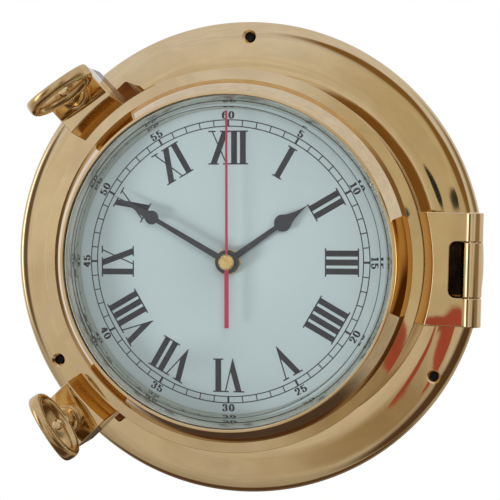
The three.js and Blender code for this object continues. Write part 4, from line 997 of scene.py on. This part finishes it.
knuckle_spans = ((NOTCH_HALF, PLATE_HALF), (-PLATE_HALF, -NOTCH_HALF))
carved(
    bezel_door,
    join=[*(bezel_ear(a) for a in EAR_ANGLES.values()), hinge_plate(),
          *(hinge_rod("knuckle", KNUCKLE, low, high, 0.45, 96) for low, high in knuckle_spans),
          *(knuckle_web(low, high) for low, high in knuckle_spans)],
    cut=[hinge_rod("pin_bore", PIN_BORE, *PIN_CUT),
         *(bore(EAR_BORE, *EAR_CUT, SCREW_CIRCLE, a) for a in EAR_ANGLES.values()),
         *(bore(CLIP_BORE, *CLIP_CUT, SCREW_CIRCLE, a) for a in EAR_ANGLES.values())])
# The narrow inner walls of the ears miss the buffing wheel and are rougher, and their deeper orange is painted
# shade
ear_wall_shade_brass = metal("ear_wall_shade_brass", (0.78, 0.54, 0.23), (0.68, 0.44, 0.17), (0.10, 0.22), 0.05, 0.002)
finish_with(bezel_door, polished_brass)
refinish(bezel_door, ear_wall_shade_brass, lambda out, depth, face: (
    face.center.x < 0 and out > RIM - 0.3 and CREASE < depth < EAR_FRONT - 0.6
    and face.normal.dot(Vector((face.center.x, 0, face.center.z)).normalized()) < -0.7))
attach(bezel_door, "door")
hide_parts("bezel_casting")


# Glass: a polished disc, bevelled all round so that its middle fills the lip, seated from behind
# against a thin black gasket and held by a plated ring that screws into the door from behind.
GLASS_RIM, GLASS_MIDDLE, GLASS_RADIUS = 54.3, 56.4, 76.2
BEVEL_INNER, BEVEL_OUTER, GROUND_EDGE, GROUND_FALL = 69.9, 75.0, 0.3, 0.12
GASKET_BACK, GASKET_FRONT = 54.6, 55.0
clear_glass, tree, shader = new_material("clear_glass")
shader.inputs["Base Color"].default_value = (0.97, 0.985, 0.98, 1)
shader.inputs["Transmission Weight"].default_value = 1
shader.inputs["IOR"].default_value = 1.55
shader.inputs["Specular Tint"].default_value = (0.4, 0.4, 0.4, 1)
at = tree.nodes.new("ShaderNodeTexCoord").outputs["Object"]
tree.links.new(ranged(tree, noise_in(tree, at, 80, 5, 0.6), 0.62, 0.85, 0.0, 0.03), shader.inputs["Roughness"])
clear = tree.nodes.new("ShaderNodeBsdfTransparent")
passing = tree.nodes.new("ShaderNodeLightPath")
lets_light = combined(tree, "MAXIMUM", passing.outputs["Is Shadow Ray"], passing.outputs["Is Diffuse Ray"])
pane = tree.nodes.new("ShaderNodeMixShader")
tree.links.new(lets_light, pane.inputs["Fac"])
tree.links.new(shader.outputs[0], pane.inputs[1])
tree.links.new(clear.outputs[0], pane.inputs[2])
output = next(node for node in tree.nodes if node.type == "OUTPUT_MATERIAL")
tree.links.new(pane.outputs[0], output.inputs["Surface"])
door_glass = turned("door_glass", (
    (0, GLASS_BACK, 0), (GLASS_RADIUS, GLASS_BACK, 0.2), (GLASS_RADIUS, GLASS_RIM, 0.2),
    (BEVEL_OUTER, GLASS_RIM, 0), (BEVEL_INNER + GROUND_EDGE, GLASS_MIDDLE - GROUND_FALL, 0),
    (BEVEL_INNER, GLASS_MIDDLE, 0), (0, GLASS_MIDDLE, 0)), 256)
for face in door_glass.data.polygons:
    face.use_smooth = abs(face.normal.y) < 0.99
door_glass.data.set_sharp_from_angle(angle=math.radians(8))
finish_with(door_glass, clear_glass)
# A near-black band on the narrow ground facet at the bevel's ridge is painted shade
refinish(door_glass, plain_paint("ridge_shade_paint", (0.04, 0.04, 0.04, 1), 0.6), lambda out, depth, face: (
    BEVEL_INNER < out < BEVEL_INNER + GROUND_EDGE and depth > GLASS_BACK + 1))
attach(door_glass, "door")
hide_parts("glass")

lip_gasket = turned("lip_gasket", ring(LIP, GLASS_RADIUS, GASKET_BACK, GASKET_FRONT, 0.1, 0.1, 0.1, 0.1))
finish_with(lip_gasket, rubber)
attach(lip_gasket, "door")
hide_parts("glass_gasket")

KEEPER_FOOT, KEEPER_MOUTH, KEEPER_RADIUS, KEEPER_DEPTHS = 72.0, 74.8, 77.6, (49.2, 52.5)
glass_keeper = turned("glass_keeper", (
    (KEEPER_FOOT, KEEPER_DEPTHS[0], 0.04), (KEEPER_RADIUS, KEEPER_DEPTHS[0], 0.2),
    (KEEPER_RADIUS, KEEPER_DEPTHS[1], 0.2), (KEEPER_MOUTH, KEEPER_DEPTHS[1], 0.04)), 256)
satin_ring = metal("satin_ring", (0.66, 0.62, 0.54), (0.62, 0.58, 0.50), (0.17, 0.24), 0.0, 0.0005)
finish_with(glass_keeper, satin_ring)
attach(glass_keeper, "door")
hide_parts("glass_spring_ring")


# Hinge pin: a drawn brass rod, domed at both ends, that is driven through the three knuckles.
# It stays with the frame, and the door turns on it.
PIN, PIN_HALF = 2.0, 25.4
hinge_rivet = hinge_rod("hinge_rivet", PIN, -PIN_HALF, PIN_HALF, 0.35, 48)
finish_with(hinge_rivet, polished_brass)
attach(hinge_rivet, "frame")
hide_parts("hinge_pin")


# Dogs: two ring-headed screws that draw the door onto its gasket. Each head is a darker cast
# ring with a flared hub on a turned screw, whose end is peened over in the eye, with a
# washer under the hub and a keeper clip behind the ear.
dog_brass = metal("dog_brass", (0.72, 0.50, 0.23), (0.60, 0.39, 0.16), (0.14, 0.26), 0.08, 0.003,
                  (120.0, 1300.0, 130.0))
EYE_HALF, EYE_RISE, EYE_WALL, EYE_DEPTH = 12.0, 5.9, 4.4, 74.8
RING_BREADTHS = (9.6, 4.6)
RING_TURNS = {"upper": -8.6, "lower": -11.3}
HUB_BACK, HUB_RIM, HUB_WAIST_AT, HUB_TOP = 57.6, 58.9, 61.0, 66.8
HUB_FLARE, HUB_WAIST, HUB_NECK = 6.5, 5.2, 5.4
CAST_GRAIN, CAST_SOFTENING = 0.27, 18
SCREW_END, SCREW_TIP, THREAD, THREAD_ROOT = 31.5, 2.4, 3.2, 2.75
THREADS, THREAD_START, THREAD_PITCH = 6, 32.7, 1.3
CLIP_GROOVE, CLIP_GROOVE_DEPTHS, SHANK, SHANK_END = 2.6, (40.8, 42.0), 3.8, 60.6
PEEN, PEEN_EDGE, PEEN_TOP, PEEN_FLAT = 2.5, 69.0, 69.7, 1.7
WASHER_BORE, WASHER, WASHER_BACK, WASHER_FRONT = 4.1, 7.0, 56.3, 57.3


def superround(angle, power=0.72):
    c, s = math.cos(angle), math.sin(angle)
    return math.copysign(abs(c) ** power, c), math.copysign(abs(s) ** power, s)


def dog_eye(place, steps=96, around=28):
    """The ring of a dog: an oval eye in a rounded, slightly flat section, narrower over its top."""
    rows = []
    mid_x, mid_y = EYE_HALF + EYE_WALL / 2, EYE_RISE + EYE_WALL / 2
    for k in range(steps):
        t = 2 * math.pi * k / steps
        centre = Vector((mid_x * math.cos(t), 0, EYE_DEPTH + mid_y * math.sin(t)))
        out = Vector((mid_y * math.cos(t), 0, mid_x * math.sin(t))).normalized()
        breadth = (sum(RING_BREADTHS) / 2 + (RING_BREADTHS[1] - RING_BREADTHS[0]) / 2 * math.sin(t)) / 2
        section = (superround(2 * math.pi * j / around) for j in range(around))
        rows.append([centre + out * (EYE_WALL / 2 * across) + Vector((0, breadth * over, 0))
                     for across, over in section])
    return looped("eye", rows, place)


for side, angle in EAR_ANGLES.items():
    place = at_angle(SCREW_CIRCLE, angle) @ Matrix.Rotation(-math.pi / 2, 4, "Z")
    turned_place = place @ Matrix.Rotation(math.radians(RING_TURNS[side]), 4, "Z")
    head = turned(f"dog_head_{side}", (
        (0, HUB_BACK, 0), (HUB_FLARE, HUB_BACK, 0.5), (HUB_FLARE, HUB_RIM, 0.5),
        (HUB_WAIST, HUB_WAIST_AT, 2.0), (HUB_NECK, HUB_TOP, 0), (0, HUB_TOP, 0)), 64, place)
    carved(head, join=[dog_eye(turned_place)])
    remesh = head.modifiers.new("cast", "REMESH")
    remesh.mode = "VOXEL"
    remesh.voxel_size = CAST_GRAIN * MM
    soften = head.modifiers.new("soften", "SMOOTH")
    soften.iterations = CAST_SOFTENING
    soften.factor = 0.5
    smoothed(baked(head), math.radians(60))
    finish_with(head, dog_brass)
    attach(head, f"{side}_dog")
    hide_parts(f"dog_ring_{side}")

    thread = []
    for k in range(THREADS):
        level = THREAD_START + THREAD_PITCH * k
        thread += [(THREAD, level, 0.08), (THREAD_ROOT, level + THREAD_PITCH / 2, 0.08)]
    screw = turned(f"dog_bolt_{side}", (
        (0, SCREW_END, 0), (SCREW_TIP, SCREW_END, 0.2), *thread, (THREAD, CLIP_GROOVE_DEPTHS[0], 0.1),
        (CLIP_GROOVE, CLIP_GROOVE_DEPTHS[0], 0), (CLIP_GROOVE, CLIP_GROOVE_DEPTHS[1], 0),
        (SHANK, CLIP_GROOVE_DEPTHS[1], 0.15), (SHANK, SHANK_END, 0), (PEEN, SHANK_END, 0),
        (PEEN, PEEN_EDGE, 0.3), (PEEN_FLAT, PEEN_TOP, 0.4), (0, PEEN_TOP, 0)), 48, place)
    finish_with(screw, polished_brass)
    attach(screw, f"{side}_dog")
    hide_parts(f"dog_screw_{side}")

    washer = turned(f"dog_pad_{side}", ring(
        WASHER_BORE, WASHER, WASHER_BACK, WASHER_FRONT, 0.15, 0.2, 0.3, 0.15), 64, place)
    finish_with(washer, polished_brass)
    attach(washer, f"{side}_dog_slide")
    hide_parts(f"dog_washer_{side}")
    finish_with(bpy.data.objects[f"dog_clip_{side}"], sheet_steel)
